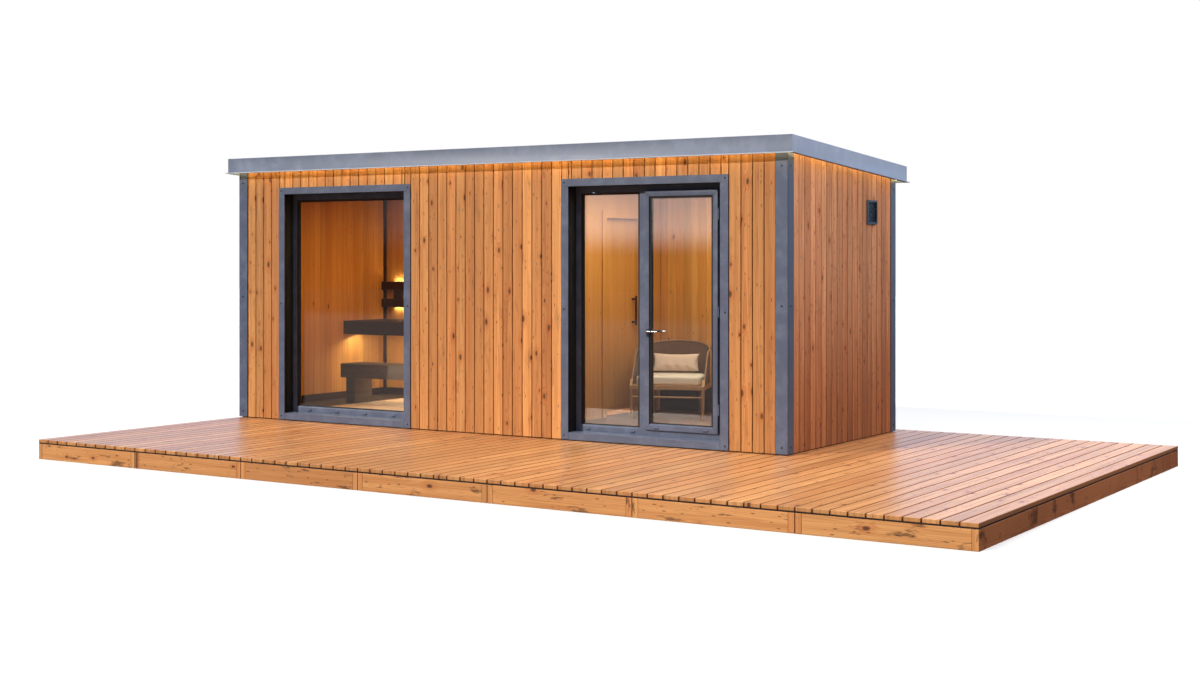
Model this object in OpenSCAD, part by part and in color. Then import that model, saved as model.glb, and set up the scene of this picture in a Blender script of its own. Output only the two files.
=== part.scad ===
// Modular sauna cabin on a timber deck.
// Units are millimetres. +X runs along the front wall to the right, +Y to the back, +Z up.
// The origin is on the ground under the middle of the whole footprint.

/* [Deck] */
// Deck in front of the cabin
terrace_front = 2400; // [1200:100:3600]
// Deck to the right of the cabin
terrace_right = 2430; // [1200:30:3600]
// Deck behind the cabin
terrace_back = 200; // [150:50:1200]
// Target width of one deck module
module_pitch = 1200; // [900:100:1500]
// Open joint between two deck boards
board_gap = 6; // [3:1:10]
// Thickness of a deck board
board_t = 28; // [20:1:40]
// Thickness of the beams, rims and joists
beam_t = 45; // [35:1:60]
// Height of the beams and rims
rim_h = 130; // [90:5:200]
// Shadow gap between the rims and the boards
shadow_gap = 10; // [6:1:20]
// Rows of joists that carry the boards
joist_rows = 9; // [5:1:13]
// Slit between the beams of two modules
module_gap = 4; // [2:1:8]

/* [Cabin] */
// Length of the cabin over its corner angles
cabin_len = 6000; // [4800:100:7200]
// Depth of the cabin over its corner angles
cabin_depth = 2200; // [1900:50:2800]
// Height from the deck to the fascia's lower edge at the front
eaves_h = 2400; // [2250:10:2800]
// Fall of the roof towards the back
roof_pitch = 3.6; // [1:0.1:6]
// Structural floor panel
floor_base_t = 60; // [40:5:90]
// Finished floor on the panel
floor_finish_t = 40; // [20:5:60]
// Insulated wall core
core_t = 122; // [80:2:160]
// Outside cladding
clad_t = 20; // [16:1:28]
// Inside lining
lining_t = 12; // [9:1:18]
// Steel of the corner angles
angle_t = 6; // [4:1:8]
// Leg of a corner angle
angle_leg = 110; // [80:5:140]
// Clearance of cladding and trims above the deck
base_gap = 8; // [5:1:15]
// Open joint between two cladding boards
clad_gap = 8; // [4:1:12]

/* [Roof] */
// Distance of the fascia from the walls
overhang = 75; // [60:5:150]
// Height of the fascia
fascia_h = 146; // [110:2:200]
// Thickness of the fascia
fascia_t = 18; // [12:1:24]
// Projection of the drip lip
lip_out = 20; // [12:1:30]
// Height of the drip lip where it leaves the fascia
lip_h = 12; // [8:1:16]
// Height of the drip lip's outer edge
lip_edge_h = 6; // [3:1:8]
// Soffit above the fascia's lower edge
soffit_rise = 30; // [20:2:45]
// Roof covering
roof_sheet_t = 6; // [4:1:12]
// Covering below the fascia's top edge
roof_sink = 12; // [8:1:30]
// Light strip under the eaves, width
led_w = 14; // [10:1:20]
// Light strip under the eaves, height
led_h = 9; // [6:1:14]

/* [Openings] */
// Width of a window or door casing
casing_len = 1632; // [1500:2:1800]
// Distance of a casing from the cabin's corner
casing_margin = 534; // [450:2:700]
// Top of the casings above the deck
casing_top = 2250; // [2150:5:2300]
// Face of a casing's sides
casing_w = 75; // [60:1:90]
// Face of a casing's head
casing_head_w = 65; // [50:1:80]
// Thickness of a casing's face
casing_t = 10; // [6:1:14]
// Sheet of a casing's return
return_t = 4; // [3:1:6]
// Depth of the reveal behind the trims
reveal = 115; // [100:1:130]
// Joint between two casing pieces
casing_joint = 1.5; // [1:0.5:3]
// Front edge of the sill above the deck
sill_h = 70; // [66:1:80]
// Rise of the sill towards the frame
sill_rise = 5; // [2:1:10]
// Face of the fixed frames
frame_w = 65; // [55:1:80]
// Height of a fixed frame's bottom rail
frame_bottom_h = 75; // [70:1:95]
// Depth of the fixed frames
frame_d = 60; // [50:1:70]
// Thickness of a glazing unit
glass_t = 24; // [18:1:32]
// Glass behind the face of its frame
glass_inset = 14; // [10:1:24]
// Glass held in its rebate
glass_bite = 12; // [8:1:15]
// Width of the splay round each glass
splay_w = 10; // [6:1:12]
// Depth of the splay round each glass
splay_d = 9; // [6:1:10]

/* [Door] */
// Width of the opening sash
sash_w = 701; // [650:1:760]
// Distance of the sash from the reveal on the hinge side
sash_margin = 72; // [60:1:90]
// Thickness of the sash's outer flange
flange_t = 20; // [15:1:25]
// Depth of the sash body behind the flange
sash_body_d = 50; // [40:1:55]
// Face of a sash stile
stile_w = 54; // [48:1:70]
// Flange over the fixed frame
flange_lap = 12; // [10:1:15]
// Gap round the sash body
sash_gap = 13; // [10:1:15]
// Gap between the flange and the fixed frame
seal_gap = 5; // [5:0.5:8]
// Mullion between the fixed light and the sash, visible face
mullion_w = 72; // [60:1:90]
// Height of the lever above the deck
lever_z = 953; // [850:5:1100]
// Length of the lever
lever_len = 118; // [100:1:140]
// Radius of the lever
lever_r = 7.5; // [6:0.5:8]
// Bend of the lever's elbow, on its middle line
lever_bend = 14; // [10:1:18]

/* [Interior] */
// Length of the lounge between its walls
lounge_len = 2210; // [1900:10:2600]
// Thickness of the partition
partition_t = 90; // [70:5:120]
// Front edge of the inner doorway behind the front wall's face
inner_door_y = 1050; // [800:10:1200]
// Width of the inner door
inner_door_w = 620; // [560:10:700]
// Top of the inner door above the deck
inner_door_top = 1940; // [1850:10:2000]
// Thickness of the inner door
inner_leaf_t = 40; // [35:1:50]
// Length of the benches
bench_len = 1950; // [1500:50:2600]
// Upper bench seat above the deck
upper_seat_z = 910; // [850:5:1000]
// Upper bench depth
upper_seat_d = 670; // [500:10:700]
// Lower bench seat above the deck
lower_seat_z = 500; // [450:5:560]
// Lower bench depth
lower_seat_d = 350; // [300:10:480]
// Height of a bench's front board
bench_front_h = 140; // [100:5:160]
// Distance of the lower bench from the left wall
lower_bench_inset = 385; // [300:5:600]
// Height of the skirting boards
skirting_h = 70; // [50:5:100]
// Side of the square batten in the sauna's corner
corner_trim_w = 26; // [18:1:28]

/* [Chair] */
// Width of the lounge chair
chair_w = 690; // [660:10:720]
// Chair depth
chair_d = 700; // [660:10:740]
// Top of the chair's back above the floor
chair_back_z = 700; // [640:10:780]
// Top of the arms at their front above the floor
chair_arm_z = 610; // [540:10:640]
// Top of the chair's seat frame above the floor
chair_rail_z = 310; // [280:5:340]
// Thickness of the seat cushion
cushion_t = 84; // [70:2:110]
// Middle of the chair to the cabin's right face
chair_from_right = 1885; // [1780:5:1900]
// Middle of the chair behind the front wall's face
chair_from_front = 1455; // [1400:5:1500]
// Turn of the chair towards the door's hinge side
chair_turn = 20; // [0:1:30]
// Width of the pillow
pillow_w = 460; // [400:10:480]
// Height of the pillow
pillow_h = 180; // [150:5:220]

/* [Hidden] */

$fn = 48;
eps = 0.01;
// Fitting gap between pieces that are put in from the side or from below
fit_gap = 0.3;

// ---- derived sizes -------------------------------------------------------
roof_out = overhang + lip_out;
deck_len = cabin_len + terrace_right;
deck_depth = terrace_front + cabin_depth + terrace_back;
deck_h = rim_h + shadow_gap + board_t;
left_x = (roof_out - deck_len) / 2;
right_x = left_x + cabin_len;
deck_right = left_x + deck_len;
deck_front = -deck_depth / 2;
front_y = deck_front + terrace_front;
back_y = front_y + cabin_depth;
deck_back = deck_front + deck_depth;
module_n = round(deck_len / module_pitch);
module_w = deck_len / module_n;

floor_z = deck_h + floor_base_t;
room_z = floor_z + floor_finish_t;
skin_t = angle_t + clad_t;
wall_t = skin_t + core_t + lining_t;
fascia_front_y = front_y - overhang;
fascia_back_y = back_y + overhang;
fascia_left_x = left_x - overhang;
fascia_right_x = right_x + overhang;
panel_t = fascia_h - soffit_rise - roof_sheet_t - roof_sink;

room_left = left_x + wall_t;
room_right = right_x - wall_t;
room_front = front_y + skin_t + core_t + lining_t;
room_back = back_y - wall_t;

window_x0 = left_x + casing_margin;
door_x1 = right_x - casing_margin;
door_x0 = door_x1 - casing_len;
clear_w = casing_len - 2 * casing_w;
clear_top = deck_h + casing_top - casing_head_w;
face_y = front_y + angle_t - casing_t;
frame_y = front_y + reveal;

sash_x1 = door_x1 - casing_w - sash_margin;
sash_x0 = sash_x1 - sash_w;
sash_z0 = floor_z + frame_bottom_h - flange_lap;
sash_z1 = clear_top - frame_w + flange_lap;
flange_y1 = frame_y - seal_gap;
flange_y0 = flange_y1 - flange_t;
sash_y1 = flange_y1 + sash_body_d;
body_inset = flange_lap + sash_gap;
hinge_r = 7;
hinge_x = sash_x1 + 3 + hinge_r;
hinge_y = flange_y0 - 1;
handle_x = sash_x0 + 35;
handle_z = deck_h + lever_z;

partition_x1 = room_right - lounge_len;
partition_x0 = partition_x1 - partition_t;
inner_y0 = front_y + inner_door_y;
inner_y1 = inner_y0 + inner_door_w;
inner_top = deck_h + inner_door_top;
inner_gap = 8;
jamb_t = 30;
architrave_w = 70;
architrave_t = 14;
leaf_z0 = room_z + 45;

bench_x0 = room_left;
bench_x1 = room_left + bench_len;
upper_y0 = room_back - upper_seat_d;
lower_y1 = upper_y0 - 130;
lower_y0 = lower_y1 - lower_seat_d;
lower_x0 = room_left + lower_bench_inset;

// ---- colours -------------------------------------------------------------
larch = [0.80, 0.50, 0.24];
larch_side = [0.66, 0.40, 0.24];
deck_wood = [0.76, 0.47, 0.25];
steel = [0.36, 0.39, 0.45];
panel_grey = [0.25, 0.24, 0.23];
spruce = [0.86, 0.62, 0.34];
dark_wood = [0.20, 0.12, 0.08];
grey_wood = [0.36, 0.31, 0.27];
glass_tint = [0.75, 0.82, 0.85, 0.35];
glow = [1.0, 0.66, 0.20];
light_wood = [0.80, 0.62, 0.42];
rope = [0.36, 0.28, 0.22];
linen = [0.83, 0.75, 0.63];
silver = [0.78, 0.79, 0.80];

// ---- helpers -------------------------------------------------------------
// Box between two corners
module span(x, y, z) {
    translate([x[0], y[0], z[0]]) cube([x[1] - x[0], y[1] - y[0], z[1] - z[0]]);
}

// Bar along X with a section of [y, z] points
module bar_x(x, section) {
    translate([x[0], 0, 0]) rotate([90, 0, 90]) linear_extrude(x[1] - x[0]) polygon(section);
}

// Bar along Y with a section of [x, z] points
module bar_y(y, section) {
    translate([0, y[1], 0]) rotate([90, 0, 0]) linear_extrude(y[1] - y[0]) polygon(section);
}

// Bar along Z with a section of [x, y] points
module bar_z(z, section) {
    translate([0, 0, z[0]]) linear_extrude(z[1] - z[0]) polygon(section);
}

// Frustum that narrows from a wide mouth at y[0] to the ranges x and z at y[1], with mitred corners
module splay(x, z, y, wide) {
    intersection() {
        bar_z([z[0] - wide - 1, z[1] + wide + 1],
              [[x[0] - wide, y[0]], [x[1] + wide, y[0]], [x[1], y[1]], [x[0], y[1]]]);
        bar_x([x[0] - wide - 1, x[1] + wide + 1],
              [[y[0], z[0] - wide], [y[0], z[1] + wide], [y[1], z[1]], [y[1], z[0]]]);
    }
}

// Height of the fascia's lower edge over a line of the plan
function eaves_z(y) = deck_h + eaves_h - (y - fascia_front_y) * tan(roof_pitch);
// Height of the wall tops under the roof panel
function wall_top(y) = eaves_z(y) + soffit_rise - fit_gap;

// Layer that follows the roof's slope, given by its two heights above the eaves line
module roof_layer(x, y, low, high) {
    bar_x(x, [[y[0], eaves_z(y[0]) + low], [y[1], eaves_z(y[1]) + low],
              [y[1], eaves_z(y[1]) + high], [y[0], eaves_z(y[0]) + high]]);
}

// Wall panel that ends under the sloping roof
module wall_panel(x, y, z0) {
    bar_x(x, [[y[0], z0], [y[1], z0], [y[1], wall_top(y[1])], [y[0], wall_top(y[0])]]);
}

// X ranges of the rough openings of the window and the door
function rough(x0) = [x0 + casing_w - return_t, x0 + casing_len - casing_w + return_t];
rough_top = clear_top + return_t;

// ---- deck ----------------------------------------------------------------
module deck_beams() {
    color(deck_wood) for (i = [0:module_n - 1]) {
        x0 = left_x + i * module_w + (i == 0 ? 0 : module_gap / 2);
        x1 = left_x + (i + 1) * module_w - (i == module_n - 1 ? 0 : module_gap / 2);
        span([x0, x0 + beam_t], [deck_front, deck_back], [0, rim_h]);
        span([x1 - beam_t, x1], [deck_front, deck_back], [0, rim_h]);
    }
}

// X range of what fits between the beams of one module
function bay(i) = [left_x + i * module_w + beam_t + fit_gap + (i == 0 ? 0 : module_gap / 2),
                   left_x + (i + 1) * module_w - beam_t - fit_gap
                   - (i == module_n - 1 ? 0 : module_gap / 2)];

module deck_rims() {
    color(deck_wood) for (i = [0:module_n - 1]) {
        span(bay(i), [deck_front, deck_front + beam_t], [0, rim_h]);
        span(bay(i), [deck_back - beam_t, deck_back], [0, rim_h]);
    }
}

module deck_joists() {
    joist_in = 2 * beam_t;
    step = (deck_depth - 2 * joist_in - beam_t) / (joist_rows - 1);
    color(deck_wood) for (i = [0:module_n - 1]) for (j = [0:joist_rows - 1]) {
        y0 = deck_front + joist_in + j * step;
        span(bay(i), [y0, y0 + beam_t], [shadow_gap, rim_h + shadow_gap]);
    }
}

module deck_boards() {
    color(deck_wood) for (i = [0:module_n - 1]) {
        x0 = left_x + i * module_w + (i == 0 ? 0 : board_gap / 2);
        x1 = left_x + (i + 1) * module_w - (i == module_n - 1 ? 0 : board_gap / 2);
        span([x0, x1], [deck_front, deck_back], [rim_h + shadow_gap, deck_h]);
    }
}

// ---- floor ---------------------------------------------------------------
module floor_base() {
    color(panel_grey) span([left_x + skin_t, right_x - skin_t],
                           [front_y + skin_t, back_y - skin_t], [deck_h, floor_z]);
}

// Floor up to the walls, notched round the window and door frames
module floor_boards() {
    color(spruce) difference() {
        span([room_left, room_right], [room_front, room_back], [floor_z, room_z]);
        for (x0 = [window_x0, door_x0])
            span(rough(x0), [room_front - 1, frame_y + frame_d], [floor_z - 1, room_z + 1]);
    }
}

// ---- walls ---------------------------------------------------------------
front_core_y = [front_y + skin_t, room_front];
panel_joint = 1;

module front_wall() {
    w = rough(window_x0);
    d = rough(door_x0);
    color(panel_grey) {
        wall_panel([left_x + skin_t, w[0]], front_core_y, floor_z);
        wall_panel([w[1], d[0]], front_core_y, floor_z);
        wall_panel([d[1], right_x - skin_t], front_core_y, floor_z);
        for (r = [w, d])
            wall_panel([r[0] + panel_joint, r[1] - panel_joint], front_core_y, rough_top);
    }
}

module back_wall() {
    color(panel_grey) wall_panel([left_x + skin_t, right_x - skin_t],
                                 [room_back + lining_t, back_y - skin_t], floor_z);
}

side_core_y = [room_front, room_back + lining_t];

module left_wall() {
    color(panel_grey) wall_panel([left_x + skin_t, room_left - lining_t], side_core_y, floor_z);
}

module right_wall() {
    color(panel_grey) wall_panel([room_right + lining_t, right_x - skin_t], side_core_y, floor_z);
}

// ---- cladding ------------------------------------------------------------
clad_z0 = deck_h + base_gap;
front_clad_y = [front_y + angle_t, front_y + skin_t];

module front_cladding() {
    w = rough(window_x0);
    d = rough(door_x0);
    color(larch) {
        wall_panel([left_x + angle_t, w[0]], front_clad_y, clad_z0);
        wall_panel([w[1], d[0]], front_clad_y, clad_z0);
        wall_panel([d[1], right_x - angle_t], front_clad_y, clad_z0);
        for (r = [w, d])
            wall_panel([r[0] + clad_gap, r[1] - clad_gap], front_clad_y, rough_top);
    }
}

module back_cladding() {
    color(larch) wall_panel([left_x + angle_t, right_x - angle_t],
                            [back_y - skin_t, back_y - angle_t], clad_z0);
}

module side_cladding(x) {
    wall_panel(x, [front_y + skin_t, back_y - skin_t], clad_z0);
}

module left_cladding() {
    color(larch_side) side_cladding([left_x + angle_t, left_x + skin_t]);
}

module right_cladding() {
    color(larch_side) side_cladding([right_x - skin_t, right_x - angle_t]);
}

// Folded L section with its rounded corner at the origin and its legs along +X and +Y
module angle_section() {
    intersection() {
        translate([angle_t, angle_t]) circle(r = angle_t);
        square(angle_t);
    }
    translate([angle_t, 0]) square([angle_leg - angle_t, angle_t]);
    translate([0, angle_t]) square([angle_t, angle_leg - angle_t]);
}

// Angle over one corner, with its outer edge at x, y and its legs towards the signs
module angle_post(x, y, sx, sy) {
    xs = sx > 0 ? [x, x + angle_leg] : [x - angle_leg, x];
    ys = sy > 0 ? [y, y + angle_leg] : [y - angle_leg, y];
    intersection() {
        translate([x, y, clad_z0]) linear_extrude(eaves_h)
            mirror([sx > 0 ? 0 : 1, 0]) mirror([0, sy > 0 ? 0 : 1]) angle_section();
        wall_panel(xs, ys, clad_z0);
    }
}

module corner_angles() {
    color(steel) {
        angle_post(left_x, front_y, 1, 1);
        angle_post(right_x, front_y, -1, 1);
        angle_post(left_x, back_y, 1, -1);
        angle_post(right_x, back_y, -1, -1);
    }
}

// ---- roof ----------------------------------------------------------------
inner_x = [fascia_left_x + fascia_t, fascia_right_x - fascia_t];
inner_y = [fascia_front_y + fascia_t, fascia_back_y - fascia_t];
fascia_joint = 1;

module roof_panel() {
    color(panel_grey) roof_layer(inner_x, inner_y, soffit_rise, soffit_rise + panel_t);
}

module roof_sheet() {
    color([0.22, 0.23, 0.25])
        roof_layer(inner_x, inner_y, soffit_rise + panel_t, fascia_h - roof_sink);
}

// Section of the fascia with its weathered drip lip, facing the way of the sign
function fascia_section(at, z, s) = [
    [at - s * fascia_t, z], [at + s * lip_out, z], [at + s * lip_out, z + lip_edge_h],
    [at, z + lip_h], [at, z + fascia_h], [at - s * fascia_t, z + fascia_h]];

// Long fascia, whose lip also turns round both of its ends
module long_fascia(y, s) {
    z = eaves_z(y);
    out = [fascia_left_x - lip_out, fascia_right_x + lip_out];
    intersection() {
        bar_x(out, fascia_section(y, z, s));
        bar_y([y - fascia_t - lip_out, y + fascia_t + lip_out],
              [[out[0], z], [out[1], z], [out[1], z + lip_edge_h],
               [fascia_right_x, z + lip_h], [fascia_right_x, z + fascia_h],
               [fascia_left_x, z + fascia_h], [fascia_left_x, z + lip_h],
               [out[0], z + lip_edge_h]]);
    }
}

// Side fascia between the long ones, laid along the roof's slope and cut upright at its ends
module side_fascia(x, s) {
    y = [inner_y[0] + fascia_joint, inner_y[1] - fascia_joint];
    y_start = y[0] - fascia_h;
    intersection() {
        translate([0, y_start, eaves_z(y_start)]) rotate([-roof_pitch, 0, 0])
            bar_y([0, y[1] - y[0] + 2 * fascia_h], fascia_section(x, 0, s));
        span([x - fascia_t - lip_out, x + fascia_t + lip_out], y, [0, 2 * eaves_h]);
    }
}

module roof_fascia() {
    color(steel) {
        long_fascia(fascia_front_y, -1);
        long_fascia(fascia_back_y, 1);
        side_fascia(fascia_left_x, -1);
        side_fascia(fascia_right_x, 1);
    }
}

// Light strips on the soffit, behind the fascia
module eaves_light() {
    low = soffit_rise - led_h;
    high = soffit_rise - fit_gap;
    x0 = inner_x[0];
    x1 = inner_x[1];
    y0 = inner_y[0];
    y1 = inner_y[1];
    color(glow) {
        roof_layer([x0, x1], [y0, y0 + led_w], low, high);
        roof_layer([x0, x1], [y1 - led_w, y1], low, high);
        roof_layer([x0, x0 + led_w], [y0 + 2 * led_w, y1 - 2 * led_w], low, high);
        roof_layer([x1 - led_w, x1], [y0 + 2 * led_w, y1 - 2 * led_w], low, high);
    }
}

// ---- lining --------------------------------------------------------------
lining_gap = 1;

module lining_panel(x, y) {
    wall_panel(x, y, floor_z);
}

module sauna_lining() {
    color(spruce) {
        lining_panel([room_left - lining_t, room_left], [room_front, room_back - lining_gap]);
        lining_panel([room_left - lining_t, partition_x0], [room_back, room_back + lining_t]);
    }
}

module lounge_lining() {
    color(spruce) {
        lining_panel([room_right, room_right + lining_t], [room_front, room_back - lining_gap]);
        lining_panel([partition_x1, room_right + lining_t], [room_back, room_back + lining_t]);
    }
}

module sauna_skirting() {
    t = 14;
    z = [room_z, room_z + skirting_h];
    color(dark_wood) {
        span([room_left, room_left + t], [room_front, room_back - t - lining_gap], z);
        span([room_left, partition_x0], [room_back - t, room_back], z);
    }
}

// Upright batten in the sauna's back left corner, on the skirting
module sauna_corner_trim() {
    color(dark_wood) wall_panel([room_left, room_left + corner_trim_w],
                                [room_back - corner_trim_w, room_back], room_z + skirting_h);
}

// ---- casings and fixed frames ----------------------------------------------
// Section of a folded casing from its outer edge to the opening: hem, face and return, as
// [distance from the outer edge, depth behind the face]
function folded(w) = [
    [0, 0], [w, 0], [w, frame_y - face_y], [w - return_t, frame_y - face_y],
    [w - return_t, return_t], [return_t, return_t], [return_t, casing_t], [0, casing_t]];

// Side of a casing with its outer edge at x and its return towards the sign, notched over the floor
module casing_side(x, s) {
    x_return = x + s * (casing_w - return_t / 2);
    difference() {
        bar_z([clad_z0, clear_top - casing_joint],
              [for (p = folded(casing_w)) [x + s * p[0], face_y + p[1]]]);
        span([x_return - return_t, x_return + return_t], [front_y + angle_t, frame_y + 1],
             [clad_z0 - 1, floor_z]);
    }
}

// Head over both sides, whose return fits between the walls of the opening
module casing_head(x0) {
    x1 = x0 + casing_len;
    difference() {
        bar_x([x0, x1], [for (p = folded(casing_head_w))
                         [face_y + p[1], clear_top + casing_head_w - p[0]]]);
        for (x = [[x0 - 1, rough(x0)[0]], [rough(x0)[1], x1 + 1]])
            span(x, [front_y + angle_t, frame_y + 1], [clear_top - 1, rough_top + 1]);
    }
}

// Sill between the sides: foot on the floor panel's edge, face, and a top that falls outwards
module casing_sill(x0) {
    z = deck_h + sill_h;
    foot_y = front_y + skin_t;
    bar_x([x0 + casing_w + casing_joint, x0 + casing_len - casing_w - casing_joint],
          [[face_y, clad_z0], [face_y, z], [frame_y, z + sill_rise],
           [frame_y, z + sill_rise - return_t], [face_y + return_t, z - return_t],
           [face_y + return_t, clad_z0 + return_t], [foot_y, clad_z0 + return_t],
           [foot_y, clad_z0]]);
}

// Folded sheet casing of one opening
module casing(x0) {
    color(steel) {
        casing_side(x0, 1);
        casing_side(x0 + casing_len, -1);
        casing_head(x0);
        casing_sill(x0);
    }
}

// Fixed frame of one opening, with a hole for each glass or sash, given as X ranges
module fixed_frame(x0, holes) {
    a = x0 + casing_w;
    b = x0 + casing_len - casing_w;
    color(steel) difference() {
        span([a, b], [frame_y, frame_y + frame_d], [floor_z, clear_top]);
        for (h = holes) span(h, [frame_y - 1, frame_y + frame_d + 1],
                             [floor_z + frame_bottom_h, clear_top - frame_w]);
        children();
    }
}

// Glazing unit held in the rebate of a hole
module glazing(x, z, y) {
    color(glass_tint) span([x[0] - glass_bite, x[1] + glass_bite], [y, y + glass_t],
                           [z[0] - glass_bite, z[1] + glass_bite]);
}

// Seat of a glazing unit in a frame whose face is at y_face: the rebate and the splay before it
module glass_seat(x, z, y, y_face) {
    span([x[0] - glass_bite, x[1] + glass_bite], [y, y + glass_t],
         [z[0] - glass_bite, z[1] + glass_bite]);
    splay(x, z, [y_face, y_face + splay_d], splay_w);
}

frame_hole_z = [floor_z + frame_bottom_h, clear_top - frame_w];
window_hole_x = [window_x0 + casing_w + frame_w, window_x0 + casing_len - casing_w - frame_w];
fixed_hole_x = [door_x0 + casing_w + frame_w, sash_x0 - mullion_w];
sash_hole_x = [sash_x0 + flange_lap, sash_x1 - flange_lap];
glass_y = frame_y + glass_inset;

module window_casing() {
    casing(window_x0);
}

module window_frame() {
    fixed_frame(window_x0, [window_hole_x])
        glass_seat(window_hole_x, frame_hole_z, glass_y, frame_y);
}

module window_glass() {
    glazing(window_hole_x, frame_hole_z, glass_y);
}

module door_casing() {
    casing(door_x0);
}

module door_frame() {
    fixed_frame(door_x0, [fixed_hole_x, sash_hole_x])
        glass_seat(fixed_hole_x, frame_hole_z, glass_y, frame_y);
}

module fixed_glass() {
    glazing(fixed_hole_x, frame_hole_z, glass_y);
}

// ---- opening sash ----------------------------------------------------------
sash_glass_x = [sash_x0 + stile_w, sash_x1 - stile_w];
sash_glass_z = [sash_z0 + stile_w, sash_z1 - stile_w];
sash_glass_y = flange_y0 + glass_inset;
spindle_r = 4;
spindle_clear = 0.5;
sash_bevel = 3;

// Flange with bevelled front edges on a narrower body that enters the fixed frame
module door_sash() {
    color(steel) difference() {
        union() {
            mirror([0, 1, 0])
                splay([sash_x0 + sash_bevel, sash_x1 - sash_bevel],
                      [sash_z0 + sash_bevel, sash_z1 - sash_bevel],
                      [-flange_y0 - sash_bevel, -flange_y0], sash_bevel);
            span([sash_x0, sash_x1], [flange_y0 + sash_bevel, flange_y1], [sash_z0, sash_z1]);
            span([sash_x0 + body_inset, sash_x1 - body_inset], [flange_y1 - eps, sash_y1],
                 [sash_z0 + body_inset, sash_z1 - body_inset]);
        }
        span(sash_glass_x, [flange_y0 - 1, sash_y1 + 1], sash_glass_z);
        glass_seat(sash_glass_x, sash_glass_z, sash_glass_y, flange_y0);
        translate([handle_x, flange_y0 - 1, handle_z]) rotate([-90, 0, 0])
            cylinder(r = spindle_r + spindle_clear, h = sash_body_d + flange_t + 2);
    }
}

module sash_glass() {
    glazing(sash_glass_x, sash_glass_z, sash_glass_y);
}

// Heights of the three hinges
hinge_len = 90;
hinge_zs = [sash_z0 + 200, (sash_z0 + sash_z1) / 2, sash_z1 - 200];
pin_r = 3.5;
pin_clear = 0.05;
knuckle = hinge_len / 2 - 1;

// Fixed half: lower knuckle, leaf to the frame and the pin
module door_hinges() {
    color(steel) for (z = hinge_zs) union() {
        translate([hinge_x, hinge_y, z - hinge_len / 2]) cylinder(r = hinge_r, h = knuckle);
        translate([hinge_x, hinge_y, z - hinge_len / 2]) cylinder(r = pin_r, h = hinge_len - 4);
        span([hinge_x - 2, hinge_x + hinge_r], [hinge_y, frame_y],
             [z - hinge_len / 2, z - hinge_len / 2 + knuckle]);
    }
}

// Moving half: upper knuckle with its bore, and the leaf on the flange's edge
module sash_hinges() {
    z_up = -hinge_len / 2 + knuckle + 1;
    color(steel) for (z = hinge_zs) difference() {
        union() {
            translate([hinge_x, hinge_y, z + z_up]) cylinder(r = hinge_r, h = knuckle);
            span([sash_x1, hinge_x], [flange_y0, flange_y0 + 6], [z + z_up, z + z_up + knuckle]);
        }
        translate([hinge_x, hinge_y, z + z_up - 1])
            cylinder(r = pin_r + pin_clear, h = knuckle + 2);
    }
}

// Roses on both faces of the stile
rose_w = 26;
rose_h = 66;
rose_t = 8;
rose_drop = 14;
inner_rose_shift = 5.5;
neck_r = 5.5;

// Long plate with round ends and the hole for the neck
module rose(x, y0) {
    straight = rose_h - rose_w;
    difference() {
        translate([x, y0 + rose_t, handle_z - rose_drop]) rotate([90, 0, 0])
            linear_extrude(rose_t) union() {
                square([rose_w, straight], center = true);
                for (s = [-1, 1]) translate([0, s * straight / 2]) circle(r = rose_w / 2);
            }
        translate([handle_x, y0 - 1, handle_z]) rotate([-90, 0, 0])
            cylinder(r = neck_r + spindle_clear, h = rose_t + 2);
    }
}

module handle_roses() {
    color(silver) {
        rose(handle_x, flange_y0 - rose_t);
        rose(handle_x + inner_rose_shift, sash_y1);
    }
}

// Lever on both sides, joined by the spindle
outer_reach = 46;
inner_reach = 38;
face_clear = 0.3;

// Neck, elbow and grip from a face, to the front or the back by the sign
module lever(y, s, reach) {
    translate([handle_x, y + s * face_clear, handle_z]) rotate([s > 0 ? -90 : 90, 0, 0])
        cylinder(r = neck_r, h = reach - lever_bend);
    translate([handle_x + lever_bend, y + s * (reach - lever_bend), handle_z])
        rotate([0, 0, s > 0 ? 90 : 180]) rotate_extrude(angle = 90)
            translate([lever_bend, 0]) circle(r = lever_r);
    translate([handle_x + lever_bend, y + s * reach, handle_z]) {
        rotate([0, 90, 0]) cylinder(r = lever_r, h = lever_len - lever_r - lever_bend);
        translate([lever_len - lever_r - lever_bend, 0, 0]) sphere(r = lever_r);
    }
}

module door_handle() {
    color(silver) union() {
        translate([handle_x, flange_y0 - 1, handle_z]) rotate([-90, 0, 0])
            cylinder(r = spindle_r, h = flange_t + sash_body_d + 2);
        lever(flange_y0, -1, outer_reach);
        lever(sash_y1, 1, inner_reach);
    }
}

// ---- vent ------------------------------------------------------------------
vent_size = 210;
vent_y = front_y + 1657;
vent_z = deck_h + 1970;
vent_hole = 170;
vent_t = 16;
vent_back_t = 3;
vent_bars = 9;
bar_t = 2;
bar_lean = 35;

// Louvres in a frame with a back plate that covers the duct's end
module vent_grille() {
    x0 = right_x - angle_t;
    half = vent_size / 2;
    pitch = vent_hole / vent_bars;
    color(steel) union() {
        difference() {
            span([x0, x0 + vent_t], [vent_y - half, vent_y + half],
                 [vent_z - half, vent_z + half]);
            span([x0 + vent_back_t, x0 + vent_t + 1],
                 [vent_y - vent_hole / 2, vent_y + vent_hole / 2],
                 [vent_z - vent_hole / 2, vent_z + vent_hole / 2]);
        }
        for (i = [0:vent_bars - 1])
            translate([x0 + vent_t / 2 + 1, vent_y, vent_z + (i + 0.5 - vent_bars / 2) * pitch])
                rotate([0, bar_lean, 0])
                    cube([pitch * 0.75, vent_hole + 2, bar_t], center = true);
    }
}

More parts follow.
